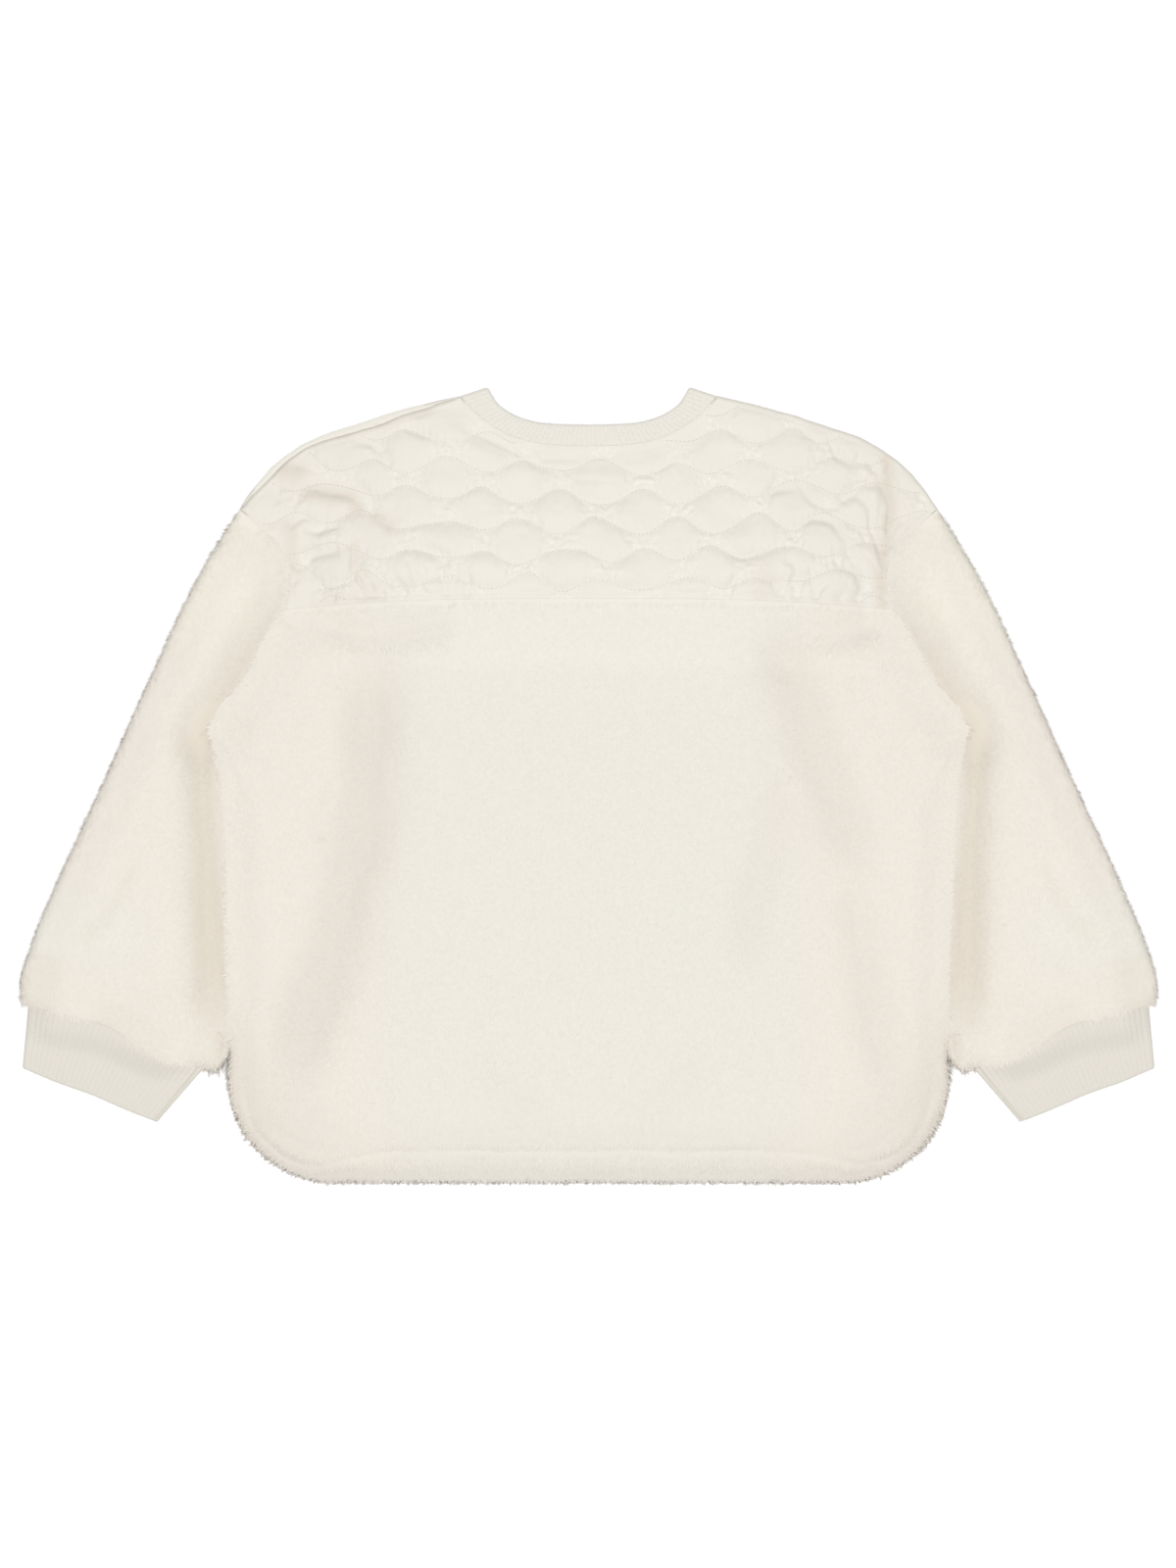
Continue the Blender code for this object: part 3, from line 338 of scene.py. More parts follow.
# Creases of the yoke over its whole width, as a path, the half-width and the depth. Ridges have a
# depth below zero.
YOKE_CREASES = (
    (((-0.218, 0.236), (-0.205, 0.232), (-0.192, 0.228)), 0.0024, 0.0020),
    (((-0.206, 0.214), (-0.202, 0.219), (-0.190, 0.217), (-0.1775, 0.2155), (-0.170, 0.212),
      (-0.1675, 0.206), (-0.171, 0.200), (-0.177, 0.196)), 0.0046, 0.0042),
    (((-0.220, 0.202), (-0.212, 0.2095), (-0.205, 0.215)), 0.0018, 0.0016),
    (((-0.220, 0.188), (-0.209, 0.196), (-0.203, 0.194)), 0.0020, 0.0022),
    (((-0.210, 0.188), (-0.1975, 0.1855), (-0.1865, 0.190)), 0.0022, 0.0024),
    (((-0.202, 0.175), (-0.192, 0.178), (-0.177, 0.179)), 0.0026, -0.0018),
    (((-0.216, 0.157), (-0.2035, 0.1675), (-0.183, 0.171)), 0.0026, 0.0034),
    (((-0.2135, 0.140), (-0.195, 0.145), (-0.174, 0.149)), 0.0024, 0.0022),
    (((-0.2225, 0.140), (-0.219, 0.1475), (-0.212, 0.151)), 0.0020, 0.0018),
    (((-0.231, 0.220), (-0.2285, 0.206)), 0.0020, 0.0016),
    (((-0.171, 0.176), (-0.1725, 0.163), (-0.172, 0.149)), 0.0024, 0.0034),
    (((-0.168, 0.157), (-0.163, 0.145), (-0.160, 0.135)), 0.0018, 0.0026),
    (((-0.161, 0.152), (-0.157, 0.136)), 0.0016, 0.0022),
    (((-0.142, 0.156), (-0.143, 0.136)), 0.0017, 0.0020),
    (((-0.163, 0.204), (-0.1515, 0.1995), (-0.143, 0.189)), 0.0030, 0.0024),
    (((-0.175, 0.2515), (-0.160, 0.250), (-0.1515, 0.244), (-0.143, 0.234)), 0.0028, 0.0024),
    (((-0.129, 0.176), (-0.112, 0.170), (-0.103, 0.158)), 0.0026, 0.0026),
    (((-0.133, 0.167), (-0.128, 0.153), (-0.124, 0.138)), 0.0018, 0.0018),
    (((-0.101, 0.154), (-0.100, 0.137)), 0.0016, 0.0016),
    (((-0.089, 0.157), (-0.088, 0.136)), 0.0015, 0.0015),
    (((-0.138, 0.266), (-0.130, 0.260), (-0.116, 0.257)), 0.0018, 0.0014),
    (((-0.093, 0.261), (-0.072, 0.253), (-0.054, 0.244), (-0.029, 0.228)), 0.0016, 0.0011),
    (((-0.036, 0.239), (-0.006, 0.239)), 0.0012, 0.0008),
    (((-0.016, 0.224), (0.007, 0.223), (0.022, 0.222)), 0.0014, 0.0008),
    (((0.001, 0.241), (0.022, 0.241)), 0.0012, 0.0008),
    (((0.026, 0.226), (0.050, 0.231), (0.064, 0.240), (0.079, 0.247)), 0.0014, 0.0010),
    (((0.187, 0.219), (0.201, 0.2205), (0.2145, 0.218)), 0.0020, 0.0020),
    (((0.188, 0.206), (0.195, 0.212), (0.203, 0.208), (0.209, 0.194)), 0.0030, 0.0030),
    (((0.2215, 0.241), (0.220, 0.224), (0.223, 0.199), (0.216, 0.169)), 0.0030, 0.0042),
    (((0.201, 0.242), (0.213, 0.225), (0.217, 0.208), (0.215, 0.197)), 0.0020, 0.0022),
    (((0.2210, 0.2365), (0.2200, 0.2200), (0.2228, 0.2040), (0.2210, 0.1880), (0.2165, 0.1735)),
     0.0015, 0.0022),
    (((0.2130, 0.2167), (0.2138, 0.2023), (0.2111, 0.1879)), 0.0015, 0.0018),
    (((0.2075, 0.2040), (0.2066, 0.1915), (0.2129, 0.1735), (0.2156, 0.1591)), 0.0017, 0.0024),
    (((0.2282, 0.2113), (0.2320, 0.1951), (0.2282, 0.1807), (0.2228, 0.1735)), 0.0015, 0.0018),
    (((0.192, 0.177), (0.204, 0.1705), (0.212, 0.160), (0.214, 0.149)), 0.0026, -0.0024),
    (((0.187, 0.166), (0.196, 0.162), (0.203, 0.150)), 0.0024, 0.0026),
    (((0.201, 0.151), (0.208, 0.140)), 0.0018, 0.0018),
    (((0.202, 0.248), (0.195, 0.234), (0.191, 0.224)), 0.0020, 0.0018),
    (((0.176, 0.256), (0.181, 0.242), (0.196, 0.233)), 0.0018, 0.0018),
    (((0.154, 0.222), (0.162, 0.209), (0.179, 0.203), (0.190, 0.211), (0.202, 0.222)),
     0.0018, 0.0020),
    (((0.129, 0.202), (0.135, 0.214), (0.152, 0.217)), 0.0020, 0.0020),
    (((0.151, 0.191), (0.165, 0.1945), (0.179, 0.191), (0.188, 0.177)), 0.0020, 0.0022),
    (((0.104, 0.178), (0.107, 0.169), (0.118, 0.167), (0.1265, 0.178)), 0.0016, 0.0018),
    (((0.142, 0.164), (0.151, 0.161), (0.149, 0.143)), 0.0024, 0.0026),
    (((0.162, 0.163), (0.166, 0.140)), 0.0018, 0.0024),
    (((0.178, 0.162), (0.195, 0.156), (0.202, 0.139)), 0.0022, 0.0022),
    (((0.136, 0.152), (0.137, 0.138)), 0.0016, 0.0014),
)

# Painted shade on the quilted cloth: where it lies in shade, over its whole width, as a path, the
# half-width and how dark it is
YOKE_SHADES = (
    (((-0.207, 0.213), (-0.190, 0.212), (-0.174, 0.210), (-0.170, 0.202)), 0.0062, 1.0),
    (((-0.232, 0.234), (-0.214, 0.229)), 0.0080, 1.0),
    (((-0.156, 0.197), (-0.147, 0.190)), 0.0055, 0.6),
    (((-0.172, 0.176), (-0.172, 0.162)), 0.0045, 0.6),
    (((-0.219, 0.190), (-0.218, 0.162), (-0.224, 0.142)), 0.0060, 0.6),
    (((-0.190, 0.140), (-0.172, 0.138)), 0.0050, 0.4),
    (((0.220, 0.238), (0.219, 0.222), (0.221, 0.199), (0.217, 0.172), (0.215, 0.128)),
     0.0064, 1.0),
    (((-0.170, 0.160), (-0.160, 0.138)), 0.0085, 0.40),
    (((0.129, 0.164), (0.131, 0.140)), 0.0085, 0.35),
    (((-0.185, 0.2565), (-0.160, 0.2625), (-0.135, 0.2690), (-0.118, 0.2740)), 0.0035, 0.5),
)

# Painted shade: where the cloth is coloured darker and warmer for the shade that falls there. How
# dark at most, and from where to where: that is how far down for the hem, and how far down and to
# the side together for its corners.
DARK_HEM = (0.25, 0.24, 0.26)
DARK_CORNERS = (0.62, 0.39, 0.48)
DARK_BODY_FOLD = 0.9  # the deepest fold of the body
DARK_SLEEVE_CURVE = 0.8  # below 1, the shallow folds of a sleeve are darker than their depth gives
DARK_YOKE_SIDES = 0.12

# Spacing of the points
FINE_STEP = 0.0005
EDGE_STEP = 0.0022
CLOTH_STEP = 0.0020
YOKE_STEP = 0.0013
PLAIN_STEP = 0.012
EDGE_ROWS = (0.0005, 0.0014, 0.0028)  # rows of points beside a rounded edge
HOLLOW_ROW = 0.004
CORNER_PARTS = 48
SHARP = 1.0  # radians: a steeper edge than this isn't shaded smooth
RIB_COLUMNS = 8

# View
FRAME_HEIGHT = 1.152  # of the floor, from the top of the picture to the bottom
FRAME_CENTRE = (-0.0004, 0.0007)
CAMERA_HEIGHT = 4.0
OUTLINE_HEIGHT = 0.006  # where the garment's outline lies, over the floor
SENSOR = 36.0
SKY_STRENGTH = 0.42
LIGHTS = (  # the name, the place, the size and the power of each
    ("foot_light", (0.0, -2.2, 2.8), 1.6, 20.5),
    ("overhead", (0.0, 0.2, 3.6), 1.6, 101.5),
)
FLOOR_HALF = 12.0
FLOOR_GAP = 0.0003  # under the garment


# Lines and points, seen from above

def unit(vectors):
    return vectors / np.linalg.norm(vectors, axis=1, keepdims=True)


def along(line):
    """How far along the line each of its points is."""
    return np.concatenate([[0.0], np.cumsum(np.linalg.norm(np.diff(line, axis=0), axis=1))])


def length_of(line):
    return float(along(line)[-1])


def points_at(line, places):
    """The points at these distances along the line."""
    reached = along(line)
    return np.stack([np.interp(places, reached, column) for column in line.T], axis=-1)


def even_count(line, count):
    """The line with count equal stretches."""
    return points_at(line, np.linspace(0.0, length_of(line), count + 1))


def evenly(line, step):
    """The line again, with its points about step apart."""
    return even_count(line, max(1, round(length_of(line) / step)))


def smooth(rows, step):
    """Points about step apart on a smooth curve through the rows of a table."""
    rows = np.array(rows, float)
    knots = along(rows)
    slopes = np.gradient(rows, knots, axis=0)
    places = np.linspace(0.0, knots[-1], round(knots[-1] / FINE_STEP) + 1)
    i = np.clip(np.searchsorted(knots, places, side="right") - 1, 0, len(knots) - 2)
    span = (knots[i + 1] - knots[i])[:, None]
    t = (places - knots[i])[:, None] / span
    curve = (
        (1 + 2 * t) * (1 - t) ** 2 * rows[i]
        + t * (1 - t) ** 2 * span * slopes[i]
        + t**2 * (3 - 2 * t) * rows[i + 1]
        + t**2 * (t - 1) * span * slopes[i + 1]
    )
    return evenly(curve, step)


def mirrored(line):
    """The same line on the left-hand side, still in its own order."""
    return line * (-1.0, 1.0)


def moved(line, amount):
    """The line moved to its left by amount, a number or one for each point."""
    ahead = unit(np.gradient(line, axis=0))
    left = np.stack([-ahead[:, 1], ahead[:, 0]], axis=1)
    return line + left * np.reshape(amount, (-1, 1))


def closed(outline):
    return np.concatenate([outline, outline[:1]])


def distance(points, *lines):
    """How far each point is from the nearest of the lines."""
    corners, faces = [], []
    for line in lines:
        first = len(corners)
        corners += [(x, y, z) for x, y in line for z in (-0.01, 0.01)]
        for i in range(first, first + 2 * len(line) - 2, 2):
            faces.append((i, i + 1, i + 3, i + 2))
    tree = BVHTree.FromPolygons(corners, faces)
    return np.array([tree.find_nearest((x, y, 0.0))[3] for x, y in points])


def nearest(points, line):
    """How far each point is from a short line, more than 0 on its left, and at what share of it."""
    a, b = line[:-1], line[1:]
    ahead = b - a
    away = points[:, None] - a
    t = np.clip((away * ahead).sum(-1) / (ahead * ahead).sum(-1), 0.0, 1.0)
    gaps = np.linalg.norm(away - t[..., None] * ahead, axis=-1)
    best = gaps.argmin(axis=1)
    every = np.arange(len(points))
    left = ahead[best, 0] * away[every, best, 1] - ahead[best, 1] * away[every, best, 0]
    return np.copysign(gaps[every, best], left), (best + t[every, best]) / len(a)


def from_edge(points, outline):
    """How far each point is from the closed outline."""
    return distance(points, closed(outline))


def crossings(border, y):
    """The x of each place where a closed line crosses the height y."""
    rises = (border[:-1, 1] > y) != (border[1:, 1] > y)
    a, b = border[:-1][rises], border[1:][rises]
    return a[:, 0] + (y - a[:, 1]) / (b[:, 1] - a[:, 1]) * (b[:, 0] - a[:, 0])


def inside(points, outline):
    """Which of the points lie inside the closed outline."""
    border = closed(outline)
    return np.array([(crossings(border, y) > x).sum() % 2 == 1 for x, y in points], bool)


def well_inside(points, outline, margin):
    """Which of the points lie inside the closed outline by more than margin."""
    keep = inside(points, outline)
    keep[keep] = from_edge(points[keep], outline) > margin
    return keep


def lattice(outline, step):
    """Rows of points a step apart inside the outline, each row half a step along."""
    border = closed(outline)
    low, high = outline.min(axis=0), outline.max(axis=0)
    rows = []
    for row, y in enumerate(np.arange(low[1], high[1], step * np.sqrt(0.75))):
        x = np.arange(low[0] + step / 2 * (row % 2), high[0], step)
        x = x[(crossings(border, y) > x[:, None]).sum(axis=1) % 2 == 1]
        rows.append(np.stack([x, np.full(len(x), y)], axis=1))
    return np.concatenate(rows)


def filled(outline, step, edges=()):
    """Points inside the outline: rows beside its rounded edges, and a lattice a step apart.

    edges holds lines, each with the side of it that lies inside, 1 for its left.
    """
    fill = lattice(outline, step)
    fill = fill[from_edge(fill, outline) > step * 0.6]
    if not edges:
        return fill
    rows = np.concatenate([
        evenly(moved(line, side * away), step) for line, side in edges for away in EDGE_ROWS
    ])
    rows = rows[well_inside(rows, outline, EDGE_ROWS[0] * 0.8)]
    fill = fill[distance(fill, *[line for line, _ in edges]) > EDGE_ROWS[-1] + step * 0.5]
    return np.concatenate([rows, fill])


# Heights

def eased(share):
    """From 0 to 1 with level ends."""
    share = np.clip(share, 0.0, 1.0)
    return share * share * (3 - 2 * share)


def rounded(share):
    """From 0 to 1 as a quarter of a circle rises."""
    share = np.clip(share, 0.0, 1.0)
    return np.sqrt(1 - (1 - share) ** 2)


def humped(count):
    """From 0 up to 1 in the middle and down again, in count steps, with steep ends."""
    return np.sqrt(np.sin(np.linspace(0.0, np.pi, count)))


def noise(points, size, seed):
    """Smooth bumps from -1 to 1, about size apart, one number or one each way.

    Another seed gives other bumps.
    """
    table = np.random.default_rng(seed).uniform(-1.0, 1.0, (256, 256))
    at = points / size
    cell = np.floor(at).astype(int)
    t = at - cell
    t = t * t * (3 - 2 * t)

    def corner(right, up):
        return table[(cell[:, 0] + right) % 256, (cell[:, 1] + up) % 256]

    low = corner(0, 0) * (1 - t[:, 0]) + corner(1, 0) * t[:, 0]
    high = corner(0, 1) * (1 - t[:, 0]) + corner(1, 1) * t[:, 0]
    return low * (1 - t[:, 1]) + high * t[:, 1]


def folds_at(points, folds):
    """How deep the soft folds are at each point."""
    depth = np.zeros(len(points))
    stray = FOLD_STRAY * noise(points, size=0.040, seed=30)
    for path, half_width, deep in folds:
        away, share = nearest(points, smooth(path, FOLD_STEP))
        taper = eased(share / FOLD_TAPER) * eased((1 - share) / FOLD_TAPER)
        near = np.exp(-(((np.abs(away) + stray) / half_width) ** 2))
        depth = np.maximum(depth, deep * taper * near)
    return depth


def creases_at(points, creases):
    """How deep the creases are. Each fades out at both its ends, and is steep on its right."""
    depth = np.zeros(len(points))
    for path, half_width, deep in creases:
        away, share = nearest(points, smooth(path, CREASE_STEP))
        taper = np.sqrt(np.sin(np.pi * share).clip(0.0))
        width = np.where(away > 0, CREASE_GENTLE, CREASE_STEEP) * half_width
        depth += CREASE_DEPTH * deep * taper * np.exp(-((away / width) ** 2))
    return depth


def bumps(points, kinds, seed):
    """Bumps of several kinds, each a height and a size."""
    return sum(high * noise(points, size, seed + i) for i, (high, size) in enumerate(kinds))


# Building a piece

class Piece:
    """The points and faces of one closed piece of cloth."""

    def __init__(self):
        self.points = []
        self.faces = []

    def skin(self, outline, points, height):
        """Adds a surface over the outline, and returns the indices of the outline's points."""
        flat = np.concatenate([outline, points]) if len(points) else outline
        made = delaunay_2d_cdt([Vector(p) for p in flat], [], [list(range(len(outline)))], 1, 1e-8)
        faces, origins = made[2], [sources[0] for sources in made[3]]
        start = len(self.points)
        flat = flat[origins]
        self.points += [(x, y, z) for (x, y), z in zip(flat, height(flat))]
        self.faces += [[start + i for i in face] for face in faces]
        index = {origin: start + i for i, origin in enumerate(origins)}
        return [index[i] for i in range(len(outline))]

    def wall(self, upper, lower, loop=False):
        """Joins two rows of points, of the same number, with faces."""
        if loop:
            upper, lower = upper + upper[:1], lower + lower[:1]
        for i in range(len(upper) - 1):
            self.faces.append([upper[i], upper[i + 1], lower[i + 1], lower[i]])

    def rings(self, rings):
        """Adds rings of points, each joined to the next, and returns the indices of each."""
        start = len(self.points)
        size = len(rings[0])
        self.points += [tuple(point) for row in rings for point in row]
        found = [list(range(start + i * size, start + (i + 1) * size)) for i in range(len(rings))]
        for here, there in zip(found, found[1:]):
            self.wall(here, there, loop=True)
        return found

    def made(self, name, look):
        """The piece as an object that rides on the frame."""
        mesh = bpy.data.meshes.new(name)
        mesh.from_pydata(self.points, [], self.faces)
        merge_and_face_out(mesh)
        mesh.shade_smooth()
        mesh.set_sharp_from_angle(angle=SHARP)
        return riding(name, mesh, look)


def merge_and_face_out(mesh):
    """Joins points that coincide, and turns every triangle outwards."""
    work = bmesh.new()
    work.from_mesh(mesh)
    bmesh.ops.remove_doubles(work, verts=work.verts, dist=1e-7)
    bmesh.ops.triangulate(work, faces=work.faces)
    bmesh.ops.recalc_face_normals(work, faces=work.faces)
    work.to_mesh(mesh)
    work.free()


def linked(name, data):
    """A new object in the scene."""
    made = bpy.data.objects.new(name, data)
    bpy.context.scene.collection.objects.link(made)
    return made


def riding(name, mesh, look):
    """A mesh as a piece that rides on the frame. look holds its material and the name of a slot,
    which is not used.
    """
    material, slot = look
    mesh.materials.append(material)
    piece = linked(name, mesh)
    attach(piece, "root")
    return piece


def panel(name, look, outline, top, bottom, top_points, bottom_points):
    """A flat panel: two surfaces over one outline, with a wall round them."""
    piece = Piece()
    upper = piece.skin(outline, top_points, top)
    lower = piece.skin(outline, bottom_points, bottom)
    piece.wall(upper, lower, loop=True)
    return piece.made(name, look)


def ring(start_end, inner_fold, last_end, outer_fold):
    """The outline of a tube laid flat, from two open ends and two folds.

    Both ends run from the outer fold to the inner one, and both folds from the first end on.
    """
    return np.concatenate([start_end, inner_fold[1:-1], last_end[::-1], outer_fold[-2:0:-1]])


def tube(name, look, outside, hollow, heights, points):
    """A tube laid flat. outside and hollow are (start end, inner fold, last end, outer fold).

    heights holds the outer top and bottom and the inner top and bottom, and points the points of
    each. On a fold, the top and the bottom of a surface are at the same height.
    """
    piece = Piece()
    edges = []
    for lines, height, inner in zip((outside, outside, hollow, hollow), heights, points):
        found = piece.skin(ring(*lines), inner, height)
        first, last = len(lines[0]), len(lines[2])
        skip = first + len(lines[1]) - 2
        edges.append((found[:first], found[skip : skip + last]))
    for outer, inner in ((0, 2), (1, 3)):
        for end in (0, 1):
            piece.wall(edges[outer][end], edges[inner][end])
    return piece.made(name, look)


# The lines that the pieces share, on the right-hand side

def yoke_seam_y(x):
    """The seam between the yoke and the body, which drops towards its ends."""
    return YOKE_SEAM_Y - YOKE_SEAM_DROP * np.abs(x / HALF_YOKE) ** 3


def shoulder_line(side):
    """A shoulder seam from the neck to the sleeve, not quite even."""
    line = smooth(SHOULDER, EDGE_STEP) * (side, 1.0)
    return moved(line, SHOULDER_STRAY * noise(line, size=0.010, seed=31) * humped(len(line)))


def strip_line(away):
    """A line along the left shoulder, away from its seam except at its ends."""
    line = shoulder_line(-1)
    uneven = 1 + STRIP_UNEVEN * noise(line, size=0.017, seed=32)
    return moved(line, away * humped(len(line)) * uneven)


def armhole_parts():
    """The armhole down to the yoke seam, and from there to the underarm."""
    line = smooth(ARMHOLE, EDGE_STEP)
    split = int(np.abs(line[:, 1] - yoke_seam_y(line[:, 0])).argmin())
    line[split, 1] = yoke_seam_y(line[split, 0])
    return line[: split + 1], line[split:]


def body_edge():
    """The body's side, its round corner and its hem as far as the middle."""
    side = smooth(BODY_SIDE, EDGE_STEP)
    corner_x = side[-1, 0] - HEM_CORNER
    turns = np.linspace(0.0, np.pi / 2, CORNER_PARTS + 1)[1:]
    corner = np.stack(
        [corner_x + HEM_CORNER * np.cos(turns), HEM_Y + HEM_CORNER * (1 - np.sin(turns))], axis=1
    )
    hem = evenly(np.array([corner[-1], (0.0, HEM_Y)]), EDGE_STEP)
    return side, corner, hem


def neck_line(table, columns, step):
    """One edge of the neckband from the left to the right, as x and y."""
    start = NECK_COLUMNS.index(columns)
    half = np.array(table)[:, start : start + 2]
    both = np.concatenate([mirrored(half[:0:-1]), half])
    return smooth(both, step)


def whole(half):
    """A closed outline from its right-hand half, which runs from the middle to the middle."""
    return np.concatenate([half, mirrored(half[-2:0:-1])])


# Yokes

def yoke_outline(neck, strip):
    """A yoke's outline. strip is how far its left shoulder is set back."""
    shoulder = shoulder_line(1)
    upper, _ = armhole_parts()
    seam_x = evenly(np.array([(upper[-1, 0], 0.0), (-upper[-1, 0], 0.0)]), EDGE_STEP)[:, 0]
    seam = np.stack([seam_x, yoke_seam_y(seam_x) + SEAM_GAP / 2], axis=1)
    left = strip_line(strip)
    return np.concatenate([
        shoulder[1:-1], upper[:-1], seam, mirrored(upper)[-2::-1], left[-2:0:-1], neck,
    ])


def near_armholes(x):
    """From 0 in the middle of the yoke to 1 near the armholes, where it is creased."""
    return eased((np.abs(x) - CREASED_X) / CREASED_FADE)


def quilt_line(number, x):
    """The y of one wavy stitch line. Each line is half a wave along from the one above it."""
    phase = QUILT_PHASE_X + QUILT_PERIOD / 2 * (number % 2)
    places = np.stack([x, np.full(len(x), number * 1.0)], axis=1)
    sway = QUILT_SWAY * noise(places, size=(0.045, 1.0), seed=46)
    tall = QUILT_WAVE * (1 + QUILT_UNEVEN * noise(places, size=(0.050, 1.0), seed=47))
    wave = tall * np.cos(2 * np.pi * (x + sway - phase) / QUILT_PERIOD)
    lift = QUILT_LIFT * (x / HALF_YOKE) ** 2
    wander = QUILT_WANDER * (1 + near_armholes(x)) * noise(places, size=(0.021, 1.0), seed=40)
    return QUILT_TOP_Y - QUILT_PITCH * number - wave + lift + wander


def quilt_relief(points):
    """How far the wadding stands up between the stitch lines, and how crumpled it is."""
    x, y = points.T
    relief, puckers, crumpled = np.zeros((3, len(points)))
    fullness = (1 + bumps(points, PILLOW_BUMPS, seed=41)) * (1 - PILLOW_CREASED * near_armholes(x))
    crumple = bumps(points, CRUMPLE_BUMPS, seed=43)
    for number in range(-1, QUILT_LINES):
        high, low = quilt_line(number, x), quilt_line(number + 1, x)
        across = np.clip((y - low) / (high - low), 0.0, 1.0)
        room = (high - low) / (QUILT_PITCH + 2 * QUILT_WAVE)
        wide = eased((room - QUILT_OPEN) / (2 * QUILT_EVEN) + 0.5)
        full = QUILT_FLAT + (1 - QUILT_FLAT) * wide
        pillow = (4 * across * (1 - across)) ** PILLOW_CURVE
        relief = np.maximum(relief, QUILT_RISE * full * pillow * fullness)
        away = np.abs(y - low) / PUCKER_REACH
        stray = PUCKER_STRAY * noise(points, size=(0.012, 0.020), seed=45 + number)
        turn = x / PUCKER_PITCH + stray
        puckers += PUCKER_RISE * np.exp(-(away**2)) * np.sin(2 * np.pi * turn)
        puckers += CRUMPLE_RISE * crumple * (1 - wide) * pillow
        crumpled = np.maximum(crumpled, (1 - wide) * pillow)
    return relief + puckers * eased(relief / PUCKER_START), crumpled


def gathers():
    """The creases where the yoke is fuller than the body that it is sewn to."""
    made = []
    for x, length, depth in GATHERS:
        foot = yoke_seam_y(x) - GATHER_FOOT
        stray = GATHER_STRAY * noise(np.array([[x, x]]), size=0.0083, seed=34)[0]
        lean = np.sign(x) * length * (GATHER_LEAN + stray)
        path = ((x, foot), (x + 0.2 * lean, foot + length * 0.6), (x + lean, foot + length))
        made.append((path, GATHER_HALF_WIDTH, depth))
    return tuple(made)


def yoke_levels():
    """The heights of the back yoke's underside and of its quilted top, as two functions."""
    neck = neck_line(BACK_NECK, "seam_x", EDGE_STEP)
    outline = yoke_outline(moved(neck, -SEAM_GAP), STRIP_WIDTH)
    right, left = shoulder_line(1), strip_line(STRIP_WIDTH)

    def base(points, edge):
        puff = YOKE_PUFF * eased(edge / PUFF_REACH)
        return YOKE_WALL + LAYER_GAP + puff + lifted(points, YOKE_LIFT_REACH)

    def bottom(points):
        return base(points, from_edge(points, outline))

    def top(points):
        edge = from_edge(points, outline)
        low = base(points, edge)
        margin = distance(points, neck) - NECK_MARGIN
        relief = quilt_relief(points)[0] * eased(edge / EDGE_FADE)
        relief *= eased((points[:, 1] - yoke_seam_y(points[:, 0])) / SEAM_FADE)
        relief *= NECK_RELIEF + (1 - NECK_RELIEF) * eased(margin / NECK_FADE + NECK_FADE_START)
        ridge = RIDGE_RISE * np.exp(-(((edge - RIDGE_AWAY) / RIDGE_HALF_WIDTH) ** 2))
        fade = np.clip(edge / CREASE_FADE, 0.0, 1.0)
        level = low + YOKE_WALL + relief + ridge
        level -= creases_at(points, YOKE_CREASES + gathers()) * fade
        level += bumps(points, YOKE_BUMPS, seed=52) * eased(edge / CALM_IN_YOKE)
        shoulder = distance(points, right, left)
        roll = rounded(shoulder / YOKE_ROLL)
        sewn = rounded(edge / SEWN_ROLL)
        start = low + YOKE_WALL * (0.60 + 0.62 * eased(shoulder / 0.012))
        height = start + (level - start) * np.minimum(roll, sewn)
        return np.maximum(height, low + YOKE_WALL / 2)

    return outline, top, bottom


def make_back_yoke(look):
    outline, top, bottom = yoke_levels()
    points = filled(outline, YOKE_STEP)
    plain = filled(outline, PLAIN_STEP)
    piece = panel("back_yoke_quilt", look, outline, top, bottom, points, plain)
    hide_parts("back_yoke")
    return piece, outline, top


def make_front_yoke(look):
    """The front yoke: flat, but for the strip of it that comes over the left shoulder."""
    neck = neck_line(FRONT_NECK, "seam_x", EDGE_STEP)
    outline = yoke_outline(moved(neck, -SEAM_GAP), 0.0)
    shoulder, left = shoulder_line(1), shoulder_line(-1)
    crest_at = STRIP_WIDTH - 2 * SEAM_GAP
    foot_at = STRIP_WIDTH - SEAM_GAP
    outer, crest, between, foot = (
        strip_line(away)[1:-1]
        for away in (-SEAM_GAP, crest_at, (crest_at + foot_at) / 2, foot_at)
    )
    strip = np.concatenate([outer, between[::-1]])

    def top(points):
        high = 2 * YOKE_WALL + LAYER_GAP
        raised = inside(points, strip)
        bead = high - BEAD_RISE * (1 - rounded(distance(points, left, crest) / SEWN_ROLL))
        return np.where(raised, bead, YOKE_WALL)

    def bottom(points):
        return (YOKE_WALL / 2) * (1 - rounded(distance(points, shoulder, left) / YOKE_ROLL))

    fill = filled(outline, PLAIN_STEP / 2)
    fill = fill[distance(fill, left) > STRIP_WIDTH + 0.001]
    ridge = strip_line(STRIP_WIDTH * 0.45)[1:-1]
    plain = np.concatenate([crest, foot, ridge, fill])
    flat = filled(outline, PLAIN_STEP / 2, [(shoulder, -1), (left, 1)])
    piece = panel("front_yoke_cloth", look, outline, top, bottom, plain, flat)
    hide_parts("front_yoke")
    return piece, outline


# Body

def lifted(points, reach):
    """How far the layers stand apart along the yoke seam and the armholes."""
    x, y = points.T
    near = 1 - eased(np.abs(y - yoke_seam_y(x)) / reach)
    fade = eased((np.abs(x) - SEAM_LIFT_X) / (HALF_YOKE - SEAM_LIFT_X))
    return np.maximum(SEAM_LIFT * near * (1 - fade), armhole_lift(points))


